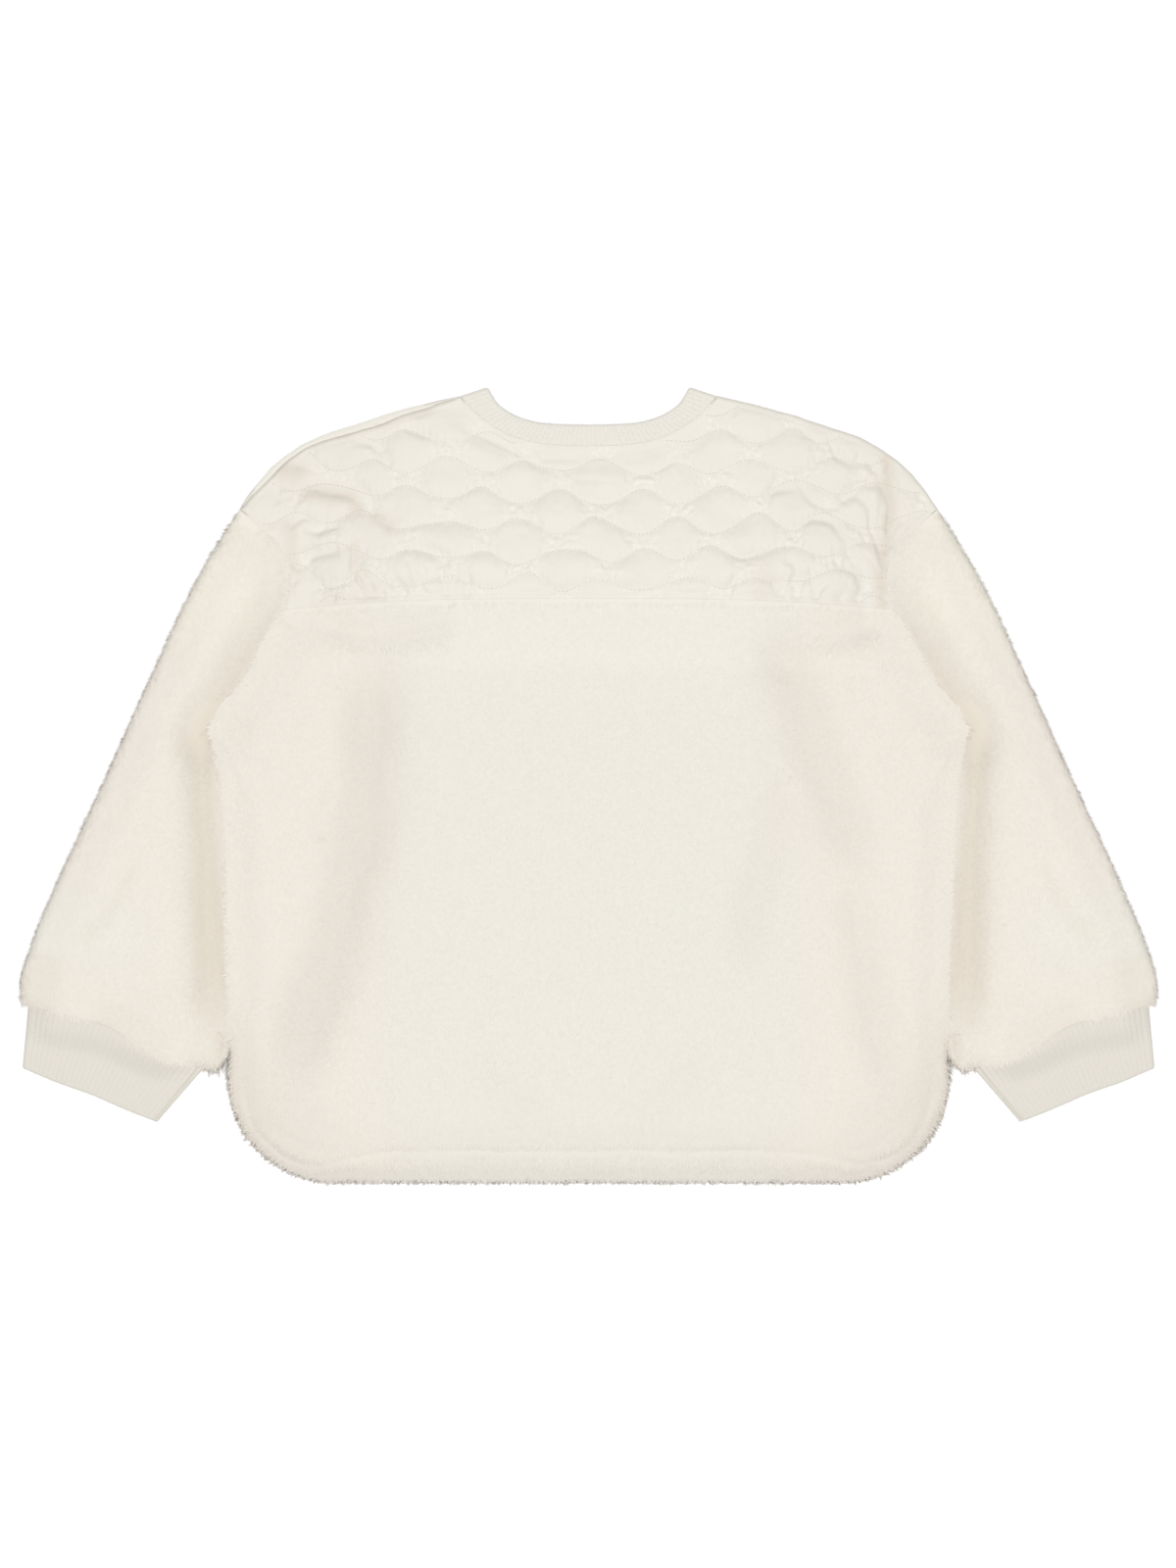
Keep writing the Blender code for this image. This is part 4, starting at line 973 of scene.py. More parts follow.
def armhole_lift(points):
    low, high = ARM_LIFT_Y
    y = points[:, 1]
    share = eased((y - low) / ARM_LIFT_FADE) * eased((high - y) / ARM_LIFT_FADE)
    armhole = smooth(ARMHOLE, EDGE_STEP)
    away = distance(points, armhole, mirrored(armhole))
    return ARM_LIFT * share * (1 - eased(away / ARM_LIFT_REACH))


class Body:
    """The lines that both panels of the body are made from."""

    def __init__(self):
        _, lower = armhole_parts()
        side, corner, hem = body_edge()
        x = evenly(np.array([(0.0, 0.0), (lower[0, 0], 0.0)]), EDGE_STEP)[:, 0]
        seam = np.stack([x, yoke_seam_y(x) - SEAM_GAP / 2], axis=1)
        self.outline = whole(np.concatenate([seam, lower[1:-1], side, corner, hem[1:]]))
        self.seams = [np.concatenate([mirrored(seam)[:0:-1], seam]), lower, mirrored(lower)]
        free = np.concatenate([side, corner, hem[1:]])
        self.free = [free, mirrored(free)]
        hem = np.concatenate([corner, hem[1:]])
        self.hem = [hem, mirrored(hem)]
        self.edges = [(self.free[0], -1), (self.free[1], 1)]


def fleece_wall(seams):
    return SEAM_WALL + (PILE_WALL - SEAM_WALL) * eased(seams / SEAM_REACH)


def pile_depth(seams):
    """How much of the wall the locks fill, which is less beside a seam."""
    return PILE_DEPTH * (0.35 + 0.65 * eased(seams / SEAM_REACH))


def beside_sleeve(points):
    """From 0 at the hem to 1 where a sleeve lies beside the body."""
    return eased((points[:, 1] - SLEEVE_LEFT_Y + LIP_BELOW) / LIP_FADE)


def edge_lip(points):
    """How high the body's edge is. It is higher where a sleeve lies beside it."""
    return HEM_LIP + (SIDE_LIP - HEM_LIP) * beside_sleeve(points)


def along_hem(points):
    """From 1 along the hem to 0 where it has turned up the side."""
    low, high = HEM_TURN
    return 1 - eased((points[:, 1] - HEM_Y - low) / (high - low))


def hem_sink(points, free):
    """How far the hem dips towards its edge."""
    return HEM_SINK * (1 - rounded(free / HEM_ROLL)) * along_hem(points)


def edge_roll(points):
    return SIDE_ROLL + (HEM_ROLL - SIDE_ROLL) * along_hem(points)


def seam_dip(seams):
    return SEAM_DIP * (1 - rounded(seams / SEAM_DIP_REACH))


def hem_groove(points, hem):
    """The row of stitches round the hem, which pulls the pile down."""
    x = np.abs(points[:, 0])
    corner = eased((x - HEM_CORNER_X) / HEM_CORNER_FADE)
    width = HEM_WIDTH + (HEM_CORNER_WIDTH - HEM_WIDTH) * corner
    away = distance(points, *hem) - width - HEM_STRAY * noise(points, size=0.030, seed=60)
    pull_middle, pull_corner = HEM_PULL
    pull = 1 + HEM_PULL_UNEVEN * noise(points, size=0.012, seed=61)
    pull = pull * (pull_middle + pull_corner * corner)
    pull *= eased((HEM_GROOVE_END_X - x) / HEM_GROOVE_FADE)
    return HEM_GROOVE * pull * np.exp(-((away / HEM_GROOVE_HALF) ** 2))


def make_back_body(body, look):
    def parts(points):
        free, seams = distance(points, *body.free), distance(points, *body.seams)
        wall = fleece_wall(seams)
        puff = BODY_PUFF * eased(np.minimum(free / PUFF_REACH, seams / SEAM_RISE))
        base = wall + LAYER_GAP + lifted(points, BODY_LIFT_REACH) - hem_sink(points, free)
        return free, seams, wall, puff, base

    def bottom(points):
        _, _, _, puff, base = parts(points)
        return base + puff - np.minimum(folds_at(points, BODY_FOLDS), puff)

    def top(points):
        free, seams, wall, puff, base = parts(points)
        folds = folds_at(points, BODY_FOLDS) * eased(free / PUFF_REACH)
        pile = pile_depth(seams)
        level = base + puff + wall - folds - hem_groove(points, body.hem) - pile
        calm = eased(seams / CALM_AT_SEAM)
        level += bumps(points, FLEECE_BUMPS, seed=70) * calm - seam_dip(seams)
        lip = base + np.minimum(edge_lip(points), wall - pile - LEAST_ROLL)
        swell = eased(free / HEM_SWELL) * (1 - eased((free - HEM_SWELL_END) / HEM_SWELL))
        level += HEM_PUFF * swell * along_hem(points)
        return lip + (level - lip) * rounded(free / edge_roll(points))

    points = filled(body.outline, CLOTH_STEP, body.edges)
    plain = filled(body.outline, PLAIN_STEP)
    piece = panel("back_body_fleece", look, body.outline, top, bottom, points, plain)
    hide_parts("back_body")
    return piece


def make_front_body(body, look):
    def top(points):
        free = distance(points, *body.free)
        return fleece_wall(distance(points, *body.seams)) - hem_sink(points, free)

    def bottom(points):
        high = PILE_WALL - LIP - HEM_SINK * along_hem(points)
        return high * (1 - rounded(distance(points, *body.free) / PILE_ROLL))

    plain = filled(body.outline, PLAIN_STEP)
    flat = filled(body.outline, PLAIN_STEP / 2, body.edges)
    piece = panel("front_body_fleece", look, body.outline, top, bottom, plain, flat)
    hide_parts("front_body")
    return piece


# Sleeves

def sleeve_lines():
    """A sleeve's armhole, inner fold, cuff seam and outer fold, clear of the body."""
    upper, lower = armhole_parts()
    armhole = moved(np.concatenate([upper, lower[1:]]), SEAM_GAP)
    side, _, _ = body_edge()
    beside = moved(side, -SIDE_OVERLAP)
    beside = beside[beside[:, 1] > SLEEVE_LEFT_Y]
    corner = smooth(np.concatenate([beside[-2:], SLEEVE_CORNER]), EDGE_STEP)[1:]
    inner = np.concatenate([armhole[-1:], beside[1:-1], corner])
    seam = smooth(CUFF_SEAM, EDGE_STEP)
    outer = smooth(SLEEVE_OUTER, EDGE_STEP)
    outer[0] = armhole[0]
    inner[-1], outer[-1] = seam[-1], seam[0]
    return armhole, inner, seam, outer


def hollow_lines(lines, wall):
    """The same lines for the space inside: the folds set in by the wall."""
    start, inner, last, outer = (line.copy() for line in lines)
    inner, outer = evenly(inner, 4 * EDGE_STEP), evenly(outer, 4 * EDGE_STEP)
    inner_in = moved(inner, wall(inner))
    outer_in = moved(outer, -wall(outer))
    for end, i in ((start, 0), (last, -1)):
        outer_in[i] = set_in(end[0], end[1], wall(end[:1])[0])
        inner_in[i] = set_in(end[-1], end[-2], wall(end[-1:])[0])
        end[0], end[-1] = outer_in[i], inner_in[i]
    return start, inner_in, last, outer_in


def set_in(point, following, amount):
    """The point moved by amount towards the one that follows it, but not past half-way."""
    ahead = following - point
    return point + ahead * min(amount / np.linalg.norm(ahead), 0.5)


def make_sleeve(name, side, look):
    lines = sleeve_lines()
    armhole, inner, seam, outer = lines

    def parts(points):
        up = distance(points, armhole)
        near = 1 - np.clip(distance(points, seam) / CUFF_SEAM_REACH, 0.0, 1.0)
        down = 1 - near**CUFF_SEAM_CURVE
        folds = distance(points, inner, outer)
        wall = SEAM_WALL + (PILE_WALL - SEAM_WALL) * np.minimum(eased(up / SEAM_REACH), down)
        end = eased(distance(points, seam) / (2 * PUFF_REACH))
        puff = SLEEVE_PUFF * np.minimum(eased(up / (1.6 * PUFF_REACH)), end)
        puff += CUFF_LIFT * (1 - down)
        lift = armhole_lift(points) * eased(folds / LIFT_CLEAR)
        puff = puff * eased(folds / PUFF_REACH) + lift
        return up, folds, wall, puff

    hollow = hollow_lines(lines, lambda points: parts(points)[2])

    def outer_top(points):
        up, away, wall, puff = parts(points)
        clear = np.minimum(up, distance(points, inner) + FOLDS_CLEAR_INNER)
        folds = folds_at(points, SLEEVE_FOLDS) * eased(clear / FOLDS_CLEAR)
        middle = wall + LAYER_GAP / 2
        edge = middle + raised(points, wall)
        level = 2 * middle + puff - folds - pile_depth(up)
        loose = eased(distance(points, seam) / CALM_AT_CUFF) * eased(up / CALM_AT_SEAM)
        level += bumps(points, FLEECE_BUMPS, seed=80 + side) * loose - seam_dip(up)
        return edge + (np.maximum(level, edge) - edge) * rounded(away / PILE_ROLL)

    def outer_bottom(points):
        _, away, wall, _ = parts(points)
        return (wall + LAYER_GAP / 2 + raised(points, wall)) * (1 - rounded(away / PILE_ROLL))

    def raised(points, wall):
        """How much higher the inner fold lies, where it is pressed against the body."""
        beside = eased((points[:, 1] - SLEEVE_LEFT_Y - RAISED_FROM) / RAISED_FADE)
        near = 1 - eased((distance(points, inner) - RAISED_HALF) / RAISED_REACH)
        raise_by = np.minimum(FOLD_RAISE, RAISED_SHARE * wall)
        return raise_by * beside * near * eased(distance(points, armhole) / CALM_AT_SEAM)

    def opened(points):
        return rounded(distance(points, hollow[1], hollow[3]) / PILE_ROLL)

    def inner_top(points):
        _, _, wall, puff = parts(points)
        folds = folds_at(points, SLEEVE_FOLDS)
        room = LAYER_GAP / 2 + puff - np.minimum(folds, puff)
        return wall + LAYER_GAP / 2 - folds / 2 + room * opened(points)

    def inner_bottom(points):
        folds = folds_at(points, SLEEVE_FOLDS)
        return parts(points)[2] - folds / 2 + LAYER_GAP / 2 * (1 - opened(points))

    outline, inside_line = ring(*lines), ring(*hollow)
    edges = [(outer, -1), (inner, 1)]
    fill = filled(inside_line, PLAIN_STEP)
    fill = fill[distance(fill, hollow[1], hollow[3]) > 1.5 * HOLLOW_ROW]
    beside = np.concatenate([moved(hollow[3], -HOLLOW_ROW), moved(hollow[1], HOLLOW_ROW)])
    beside = beside[well_inside(beside, inside_line, HOLLOW_ROW / 2)]
    within = np.concatenate([beside, fill])
    points = (
        filled(outline, CLOTH_STEP, edges), filled(outline, PLAIN_STEP / 2, edges), within, within,
    )
    heights = (outer_top, outer_bottom, inner_top, inner_bottom)
    piece = tube(f"{name}_sleeve_fleece", look, lines, hollow, heights, points)
    faced(piece, side)
    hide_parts(f"{name}_sleeve")
    return piece


def faced(piece, side):
    """The piece on its side: the left-hand one mirrors the right-hand one."""
    if side < 0:
        for vertex in piece.data.vertices:
            vertex.co.x = -vertex.co.x
        piece.data.flip_normals()


# Rib knit

def rib(share, count):
    """Round ribs with narrow valleys, from 0 to 1, for a share of the way along them all."""
    return np.abs(np.cos(np.pi * count * share)) ** RIB_CURVE


def make_cuff(name, side, look):
    """A cuff: a flat tube of rib, with the ribs along it."""
    seam = smooth(CUFF_SEAM, EDGE_STEP)
    seam = np.concatenate([[CUFF_START], seam[seam[:, 0] < CUFF_START[0]]])
    seam = moved(smooth(seam, FINE_STEP), SEAM_GAP)
    hem = smooth(CUFF_HEM, FINE_STEP)
    columns = CUFF_RIBS * RIB_COLUMNS
    width, seam_length = length_of(hem), length_of(seam)
    set_back = np.hypot(*np.subtract(CUFF_SEAM[0], CUFF_START))  # from the sleeve's outer fold
    middle = RIB_WALL + LAYER_GAP / 2
    across = np.linspace(0.0, 1.0, columns + 1)
    across = np.concatenate([across, across[-2:0:-2]])  # over the top, and back underneath
    upper = np.arange(len(across)) <= columns

    def at_shares(line, shares):
        places = np.linspace(0.0, 1.0, len(line))
        return np.stack([np.interp(shares, places, column) for column in line.T], axis=1)

    def ring_at(down, outside):
        margin = 0.0 if outside else RIB_WALL / width
        places = margin + across * (1 - 2 * margin)
        flat = at_shares(seam, places) * (1 - down) + at_shares(hem, places) * down
        away = np.minimum(across, 1 - across) * width
        over = rounded(away / RIB_WALL)
        bend = CUFF_BEND - CUFF_BEND_SLANT * across
        from_fold = np.minimum(set_back + across * seam_length, (1 - across) * seam_length)
        lift = CUFF_LIFT * (1 - eased((down - bend) / CUFF_BEND_REACH))
        lift = lift * eased(from_fold / PUFF_REACH) * over
        if not outside:
            gap = LAYER_GAP / 2 * over
            return np.column_stack([flat, np.where(upper, middle + gap + lift, middle - gap)])
        length = CUFF_LENGTH * (1 - down)
        thinner, below = CUFF_EDGE
        edge = thinner * RIB_WALL * (1 - rounded(length / CUFF_ROLL))
        swell = CUFF_SWELL * np.exp(-(((down - CUFF_SWELL_AT) / CUFF_SWELL_HALF) ** 2))
        swell = swell * eased(away / CUFF_SWELL_FOLD)
        crease_away = (1 - across) * width - CUFF_CREASE_AWAY
        crease = CUFF_CREASE * np.exp(-((crease_away / CUFF_CREASE_HALF) ** 2))
        ribs = RIB_RISE * CUFF_RIB_SHARE * rib(across, CUFF_RIBS) * rounded(length / CUFF_RIB_END)
        high = middle * (1 + over) + lift + swell + ribs - edge - crease
        low = middle * (1 - over) + edge * below
        return np.column_stack([flat, np.where(upper, high, low)])

    downs = np.concatenate([np.linspace(0.0, 0.955, 20), 1 - np.geomspace(0.03, 0.002, 5), [1.0]])
    piece = Piece()
    outer = piece.rings([ring_at(down, True) for down in downs])
    inner = piece.rings([ring_at(down, False) for down in np.linspace(0.0, 1.0, 4)])
    for end in (0, -1):
        piece.wall(outer[end], inner[end], loop=True)
    made = piece.made(f"{name}_cuff_rib", look)
    faced(made, side)
    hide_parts(f"{name}_cuff")
    return made


def trimmed(line, cut):
    """The line without a length of cut at both its ends."""
    fine = even_count(line, len(line))
    step = np.linalg.norm(fine[1] - fine[0])
    skip = round(cut / step)
    return fine[skip:-skip]


def before_end(line, away):
    """The points that are away before the line's end."""
    return points_at(line[::-1], away)


def make_neckband(look):
    """A band of rib round the neck: ribbed over the back, folded at both shoulders."""
    back = [neck_line(BACK_NECK, column, FINE_STEP) for column in ("edge_x", "seam_x")]
    front = [neck_line(FRONT_NECK, column, FINE_STEP) for column in ("edge_x", "seam_x")]
    turn = RIB_WALL + LAYER_GAP / 2
    hollow = LAYER_GAP / 2
    shares = np.array([0.0, 0.02, 0.06, 0.14, 0.3, 0.5, 0.7, 0.86, 0.95, 1.0])
    thick = np.minimum(rounded(shares / 0.09 + 0.08), 0.9 + 0.1 * rounded((1 - shares) / 0.08))
    shares = np.concatenate([shares, [0.8, 0.4, 0.0]])  # the last ones are inside the band
    thick = np.concatenate([thick, [0.0, 0.0, 0.0]])
    level = hollow + (turn - hollow) * thick

    def across(edge, seam):
        return edge * (1 - shares[:, None]) + seam * shares[:, None]

    def section(edge, seam, up, rise):
        return np.column_stack([across(edge, seam), turn + up * (level + rise * thick)])

    def fold(side):
        made = []
        for angle in np.radians(range(72, -73, -18))[::side]:
            lines = back if angle >= 0 else front
            edge, seam = (before_end(line, turn - level * np.cos(angle)) for line in lines)
            flat = across(edge, seam) * (side, 1.0)
            made.append(np.column_stack([flat, turn + level * np.sin(angle)]))
        return made

    def pairs(lines, count):
        return zip(*[even_count(trimmed(line, turn), count) for line in lines])

    count = NECK_RIBS * RIB_COLUMNS
    rings = []
    for i, (edge, seam) in enumerate(pairs(back, count)):
        rise = RIB_RISE * NECK_RIB_SHARE * rib(i / count, NECK_RIBS)
        rings.append(section(edge, seam, 1, rise))
    rings += fold(1)
    rings += [section(edge, seam, -1, 0.0) for edge, seam in pairs(front, FRONT_NECK_PARTS)][::-1]
    rings += fold(-1)
    piece = Piece()
    found = piece.rings(rings)
    piece.wall(found[-1], found[0], loop=True)
    made = piece.made("neckband_rib", look)
    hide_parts("neckband")
    return made


# Stitches

def make_stitches(name, rows, look):
    """Short stitches as a joined mesh. rows holds middles, directions and the way up, as arrays."""
    middle, ahead, up = rows
    across = np.cross(ahead, up)
    half = ahead * STITCH_LENGTH / 2
    around = [across, up, -across, -up]
    shape = [middle - half] + [middle + side * STITCH_RADIUS for side in around] + [middle + half]
    points = np.stack(shape, axis=1).reshape(-1, 3)
    pattern = [(0, 1 + i, 1 + (i + 1) % 4) for i in range(4)]
    pattern += [(5, 1 + (i + 1) % 4, 1 + i) for i in range(4)]
    faces = (np.arange(len(middle))[:, None, None] * 6 + np.array(pattern)).reshape(-1, 3)
    piece = Piece()
    piece.points = points.tolist()
    piece.faces = faces.tolist()
    return piece.made(name, look)


def level_with(vectors, normal):
    """The vectors without what they have along the normal."""
    return vectors - normal * (vectors * normal).sum(axis=1, keepdims=True)


def stitch_rows(line, height):
    """Stitches along a line, lying on the surface that height gives."""
    line = evenly(line, STITCH_PITCH)
    middle = (line[1:] + line[:-1]) / 2
    ahead = unit(np.diff(np.column_stack([line, height(line)]), axis=0))
    up = unit(level_with(np.tile([0.0, 0.0, 1.0], (len(middle), 1)), ahead))
    at = np.column_stack([middle, height(middle) + STITCH_RADIUS * 0.6])
    return at, ahead, up


def make_quilt_stitches(outline, top, look):
    rows = []
    for number in range(QUILT_LINES + 1):
        x = np.arange(-STITCHED_X, STITCHED_X, FINE_STEP)
        line = np.stack([x, quilt_line(number, x)], axis=1)
        places = np.flatnonzero(well_inside(line, outline, STITCH_MARGIN))
        for run in np.split(places, np.flatnonzero(np.diff(places) > 1) + 1):
            if len(run) > SHORTEST_RUN:
                rows.append(stitch_rows(line[run], top))
    rows = [np.concatenate(part) for part in zip(*rows)]
    return make_stitches("quilt_stitches", rows, look)


# Pile

def read(mesh, what):
    """The places or the normals of a mesh's points."""
    values = np.empty(len(mesh.vertices) * 3)
    mesh.vertices.foreach_get(what, values)
    return values.reshape(-1, 3)


def add_values(mesh, name, values):
    """Gives each point of a mesh a value that its material reads."""
    attribute = mesh.attributes.new(name, "FLOAT", "POINT")
    attribute.data.foreach_set("value", values)


def wildness(at):
    """How much longer the locks are at the corners, where the pile is rubbed up."""
    flat = np.column_stack([np.abs(at[:, 0]), at[:, 1]])
    wild = np.zeros(len(at))
    for place, reach, more in WILD_CORNERS:
        away = np.linalg.norm(flat - place, axis=1) / reach
        wild = np.maximum(wild, more * np.exp(-(away**2)))
    return 1 + wild[:, None]


def make_pile(name, piece, chosen, comb, seed, look, shade, copies=1, spread=1.0, stand=0.0):
    """Locks of pile on the chosen points of a piece, combed the way that comb gives.

    They lie flat where the surface is level and stand out where it turns down, and stand is added
    to that. copies is the number of locks at a point, and spread how far they scatter round it.
    """
    at, normal = read(piece.data, "co"), read(piece.data, "normal")
    keep = chosen(at, normal)
    at, normal = np.repeat(at[keep], copies, axis=0), np.repeat(normal[keep], copies, axis=0)
    random = np.random.default_rng(seed)
    count = len(at)
    upright = np.minimum(1.0, 1 - eased((normal[:, 2:] - UPRIGHT_FROM) / UPRIGHT_FADE) + stand)
    stray = random.normal(0.0, LOCK_STRAY, (count, 3))
    stray[:, 0] += LOCK_SWIRL * noise(at[:, :2], SWIRL_SIZE, seed + 1)
    ahead = comb(at) + stray
    ahead = unit(level_with(ahead, normal))
    across = unit(np.cross(ahead, normal))
    wild = 1 + (wildness(at) - 1) * upright
    length = LOCK_LENGTH * random.uniform(*LOCK_LENGTHS, (count, 1))
    length = length * (1 - UPRIGHT_SHORTER * upright) * wild
    half = LOCK_WIDTH / 2 * random.uniform(*LOCK_WIDTHS, (count, 1))
    shift = level_with(random.uniform(-0.5, 0.5, (count, 3)) * CLOTH_STEP * spread, normal)
    lift = LOCK_LIFT + (EDGE_LIFT - LOCK_LIFT) * upright
    lift = lift * random.uniform(*LOCK_LIFTS, (count, 1))
    reach = EDGE_REACH * wild * upright * random.uniform(*LOCK_REACHES, (count, 1))
    reach -= LOCK_ROOT * (1 - upright)
    curl = across * random.normal(0.0, LOCK_CURL, (count, 1))
    root = at + shift - normal * LOCK_ROOT
    middle = at + shift + ahead * length * 0.5 + normal * lift
    tip = at + shift + (ahead + curl) * length + normal * reach
    shape = [root - across * half, root + across * half,
             middle + across * half * LOCK_BROAD, middle - across * half * LOCK_BROAD, tip]
    each = len(shape)
    points = np.stack(shape, axis=1).reshape(-1, 3)
    points[:, 2] = np.maximum(points[:, 2], LOCK_FLOOR)
    leaned = [-LOCK_TILT, LOCK_TILT, LOCK_TILT, -LOCK_TILT, 0.0]
    normals = np.stack([unit(normal + across * lean) for lean in leaned], axis=1).reshape(-1, 3)
    first = np.arange(count)[:, None] * each
    faces = (first + np.array([0, 1, 2, 3])).tolist() + (first + np.array([3, 2, 4])).tolist()
    locks = bpy.data.meshes.new(name)
    locks.from_pydata(points.tolist(), [], faces)
    locks.shade_smooth()
    locks.normals_split_custom_set_from_vertices(normals.tolist())
    add_values(locks, "tone", np.repeat(random.uniform(0.0, 1.0, count), each))
    add_values(locks, "shade", np.repeat(shade(at), each))
    return riding(name, locks, look)


def combed(x, y):
    """Level directions to comb the pile in. x is a number for each, and y one for all."""
    return np.column_stack([x, np.full(len(x), y), np.zeros(len(x))])


def near_line(points, lines):
    """Which points are near the lines, but not on them."""
    away = distance(points, *lines)
    return (away > OFF_SEAM) & (away < FRINGE_REACH)


def unshaded(at):
    return np.zeros(len(at))


def deepest(folds):
    return max(deep for _, _, deep in folds)


def body_shade(at):
    """Painted shade on the pile: darker and warmer in the folds of the body, near its hem and at
    its corners.
    """
    x, y = at[:, :2].T
    corner_dark, corner_from, corner_to = DARK_CORNERS
    hem_dark, hem_from, hem_to = DARK_HEM
    corners = corner_dark * eased((np.abs(x) - y - corner_from) / (corner_to - corner_from))
    hem = hem_dark * eased((-y - hem_from) / (hem_to - hem_from))
    folds = DARK_BODY_FOLD * folds_at(at[:, :2], BODY_FOLDS) / deepest(BODY_FOLDS)
    return np.maximum(folds, np.maximum(corners, hem))


def yoke_shade(at):
    """Painted shade on the quilted cloth: darker and warmer where it is creased and near the
    armholes.
    """
    shade = DARK_YOKE_SIDES * near_armholes(at[:, 0])
    for path, half_width, dark in YOKE_SHADES:
        away, _ = nearest(at[:, :2], smooth(path, SHADE_STEP))
        away = away + SHADE_STRAY * noise(at[:, :2], size=0.006, seed=33)
        shade = np.maximum(shade, dark * np.exp(-((away / half_width) ** 2)))
    return shade


def sleeve_shade(at):
    """Painted shade on the pile: darker and warmer in the folds of a sleeve."""
    side = np.sign(at[:, :1].mean())
    folds = folds_at(at[:, :2] * (side, 1.0), SLEEVE_FOLDS)
    return (folds / deepest(SLEEVE_FOLDS)) ** DARK_SLEEVE_CURVE


# Materials

def shader(name, roughness, sheen):
    """A new material and its tree, with what is the same all over set on the shader."""
    material = bpy.data.materials.new(name)
    material.use_nodes = True
    inputs = material.node_tree.nodes["Principled BSDF"].inputs
    inputs["Roughness"].default_value = roughness
    inputs["Specular IOR Level"].default_value = 0.2
    inputs["Sheen Weight"].default_value = sheen
    inputs["Sheen Roughness"].default_value = 0.6
    return material, material.node_tree


def paint(tree, colour, normal=None):
    """Gives the shader its colour, and its normal where there is one."""
    inputs = tree.nodes["Principled BSDF"].inputs
    tree.links.new(colour, inputs["Base Color"])
    if normal is not None:
        tree.links.new(normal, inputs["Normal"])


def node(tree, kind, inputs=(), **settings):
    """A node with its settings and inputs, which are values or other nodes' outputs."""
    made = tree.nodes.new(kind)
    for key, value in settings.items():
        setattr(made, key, value)
    for key, value in inputs:
        if isinstance(value, bpy.types.NodeSocket):
            tree.links.new(value, made.inputs[key])
        else:
            made.inputs[key].default_value = value
    return made


def blended(tree, factor, first, second):
    """The first colour where the factor is 0, and the second where it is 1."""
    mix = node(tree, "ShaderNodeMix", data_type="RGBA")
    tree.links.new(factor, mix.inputs["Factor"])
    for key, value in (("A", first), ("B", second)):
        socket = [s for s in mix.inputs if s.name == key and s.type == "RGBA"][0]
        if isinstance(value, bpy.types.NodeSocket):
            tree.links.new(value, socket)
        else:
            socket.default_value = (*value, 1.0)
    return [s for s in mix.outputs if s.type == "RGBA"][0]


def ranged(tree, value, low, high):
    """From 0 where the value is low to 1 where it is high."""
    inputs = [("Value", value), ("From Min", low), ("From Max", high)]
    return node(tree, "ShaderNodeMapRange", inputs).outputs["Result"]


def maths(tree, operation, *values):
    """The outcome of an operation on values or other nodes' outputs."""
    return node(tree, "ShaderNodeMath", enumerate(values), operation=operation).outputs[0]


def attribute(tree, name):
    return node(tree, "ShaderNodeAttribute", attribute_name=name).outputs["Fac"]


def position(tree):
    return node(tree, "ShaderNodeTexCoord").outputs["Object"]


def coordinate(tree, where, axis):
    return node(tree, "ShaderNodeSeparateXYZ", [("Vector", where)]).outputs[axis]


def speckle(tree, where, scale, detail=2.0):
    """Soft specks, more of them for a greater scale."""
    inputs = [("Vector", where), ("Scale", scale), ("Detail", detail)]
    return node(tree, "ShaderNodeTexNoise", inputs).outputs["Fac"]


def bump(tree, strength, depth, height, under=None):
    """A normal that follows the height, on top of the normal under it."""
    inputs = [("Strength", strength), ("Distance", depth), ("Height", height)]
    if under is not None:
        inputs.append(("Normal", under))
    return node(tree, "ShaderNodeBump", inputs).outputs["Normal"]


def side_share(tree, where, near, far):
    """From 0 in the middle of the garment to 1 at its sides."""
    return ranged(tree, maths(tree, "ABSOLUTE", coordinate(tree, where, "X")), near, far)


FLEECE = (0.680, 0.657, 0.590)
FLEECE_WARM = (0.702, 0.655, 0.591)
# painted light: the fleece coloured lighter where more light falls on it
FLEECE_PAINTED_LIGHT = (0.698, 0.674, 0.606)
SLEEVE_PAINTED_LIGHT = (0.716, 0.680, 0.600)
FLEECE_DEEP = (0.620, 0.590, 0.520)
# painted shade in the folds of the fleece, on the body and on the sleeves
FLEECE_SHADE = (0.645, 0.595, 0.535)
SLEEVE_SHADE = (0.618, 0.562, 0.476)
YOKE = (0.677, 0.652, 0.590)
YOKE_DEEP = (0.640, 0.612, 0.550)
# a painted highlight, for the sheen of the crumpled cloth
YOKE_PAINTED_HIGHLIGHT = (0.718, 0.695, 0.636)
# painted shade of the quilted cloth where it is creased
YOKE_SHADE = (0.618, 0.566, 0.494)
RIB = (0.672, 0.648, 0.588)
RIB_DEEP = (0.560, 0.535, 0.480)
# the rib knit made darker for the cuffs: painted shade
CUFF_RIB = (0.624, 0.593, 0.531)
# the thread's colour, made darker than the cloth as painted shade along the stitch lines
THREAD = (0.612, 0.583, 0.515)
FLOOR = (0.93, 0.93, 0.93)
# Painted light: places where the fleece is coloured lighter because more light falls there
PAINTED_LIGHT_PLACES = (  # under the yoke seam, low on the sleeves but not at the cuffs, and high on them
    ((0.045, 0.100), (0.200, 0.190), (0.175, 0.100), FLEECE_PAINTED_LIGHT),
    ((-0.040, -0.110), (-0.160, -0.115), (0.290, 0.340), FLEECE_PAINTED_LIGHT),
    ((0.085, 0.130), (0.250, 0.240), (0.228, 0.244), SLEEVE_PAINTED_LIGHT),
)
THREAD_PITCH = 0.0007


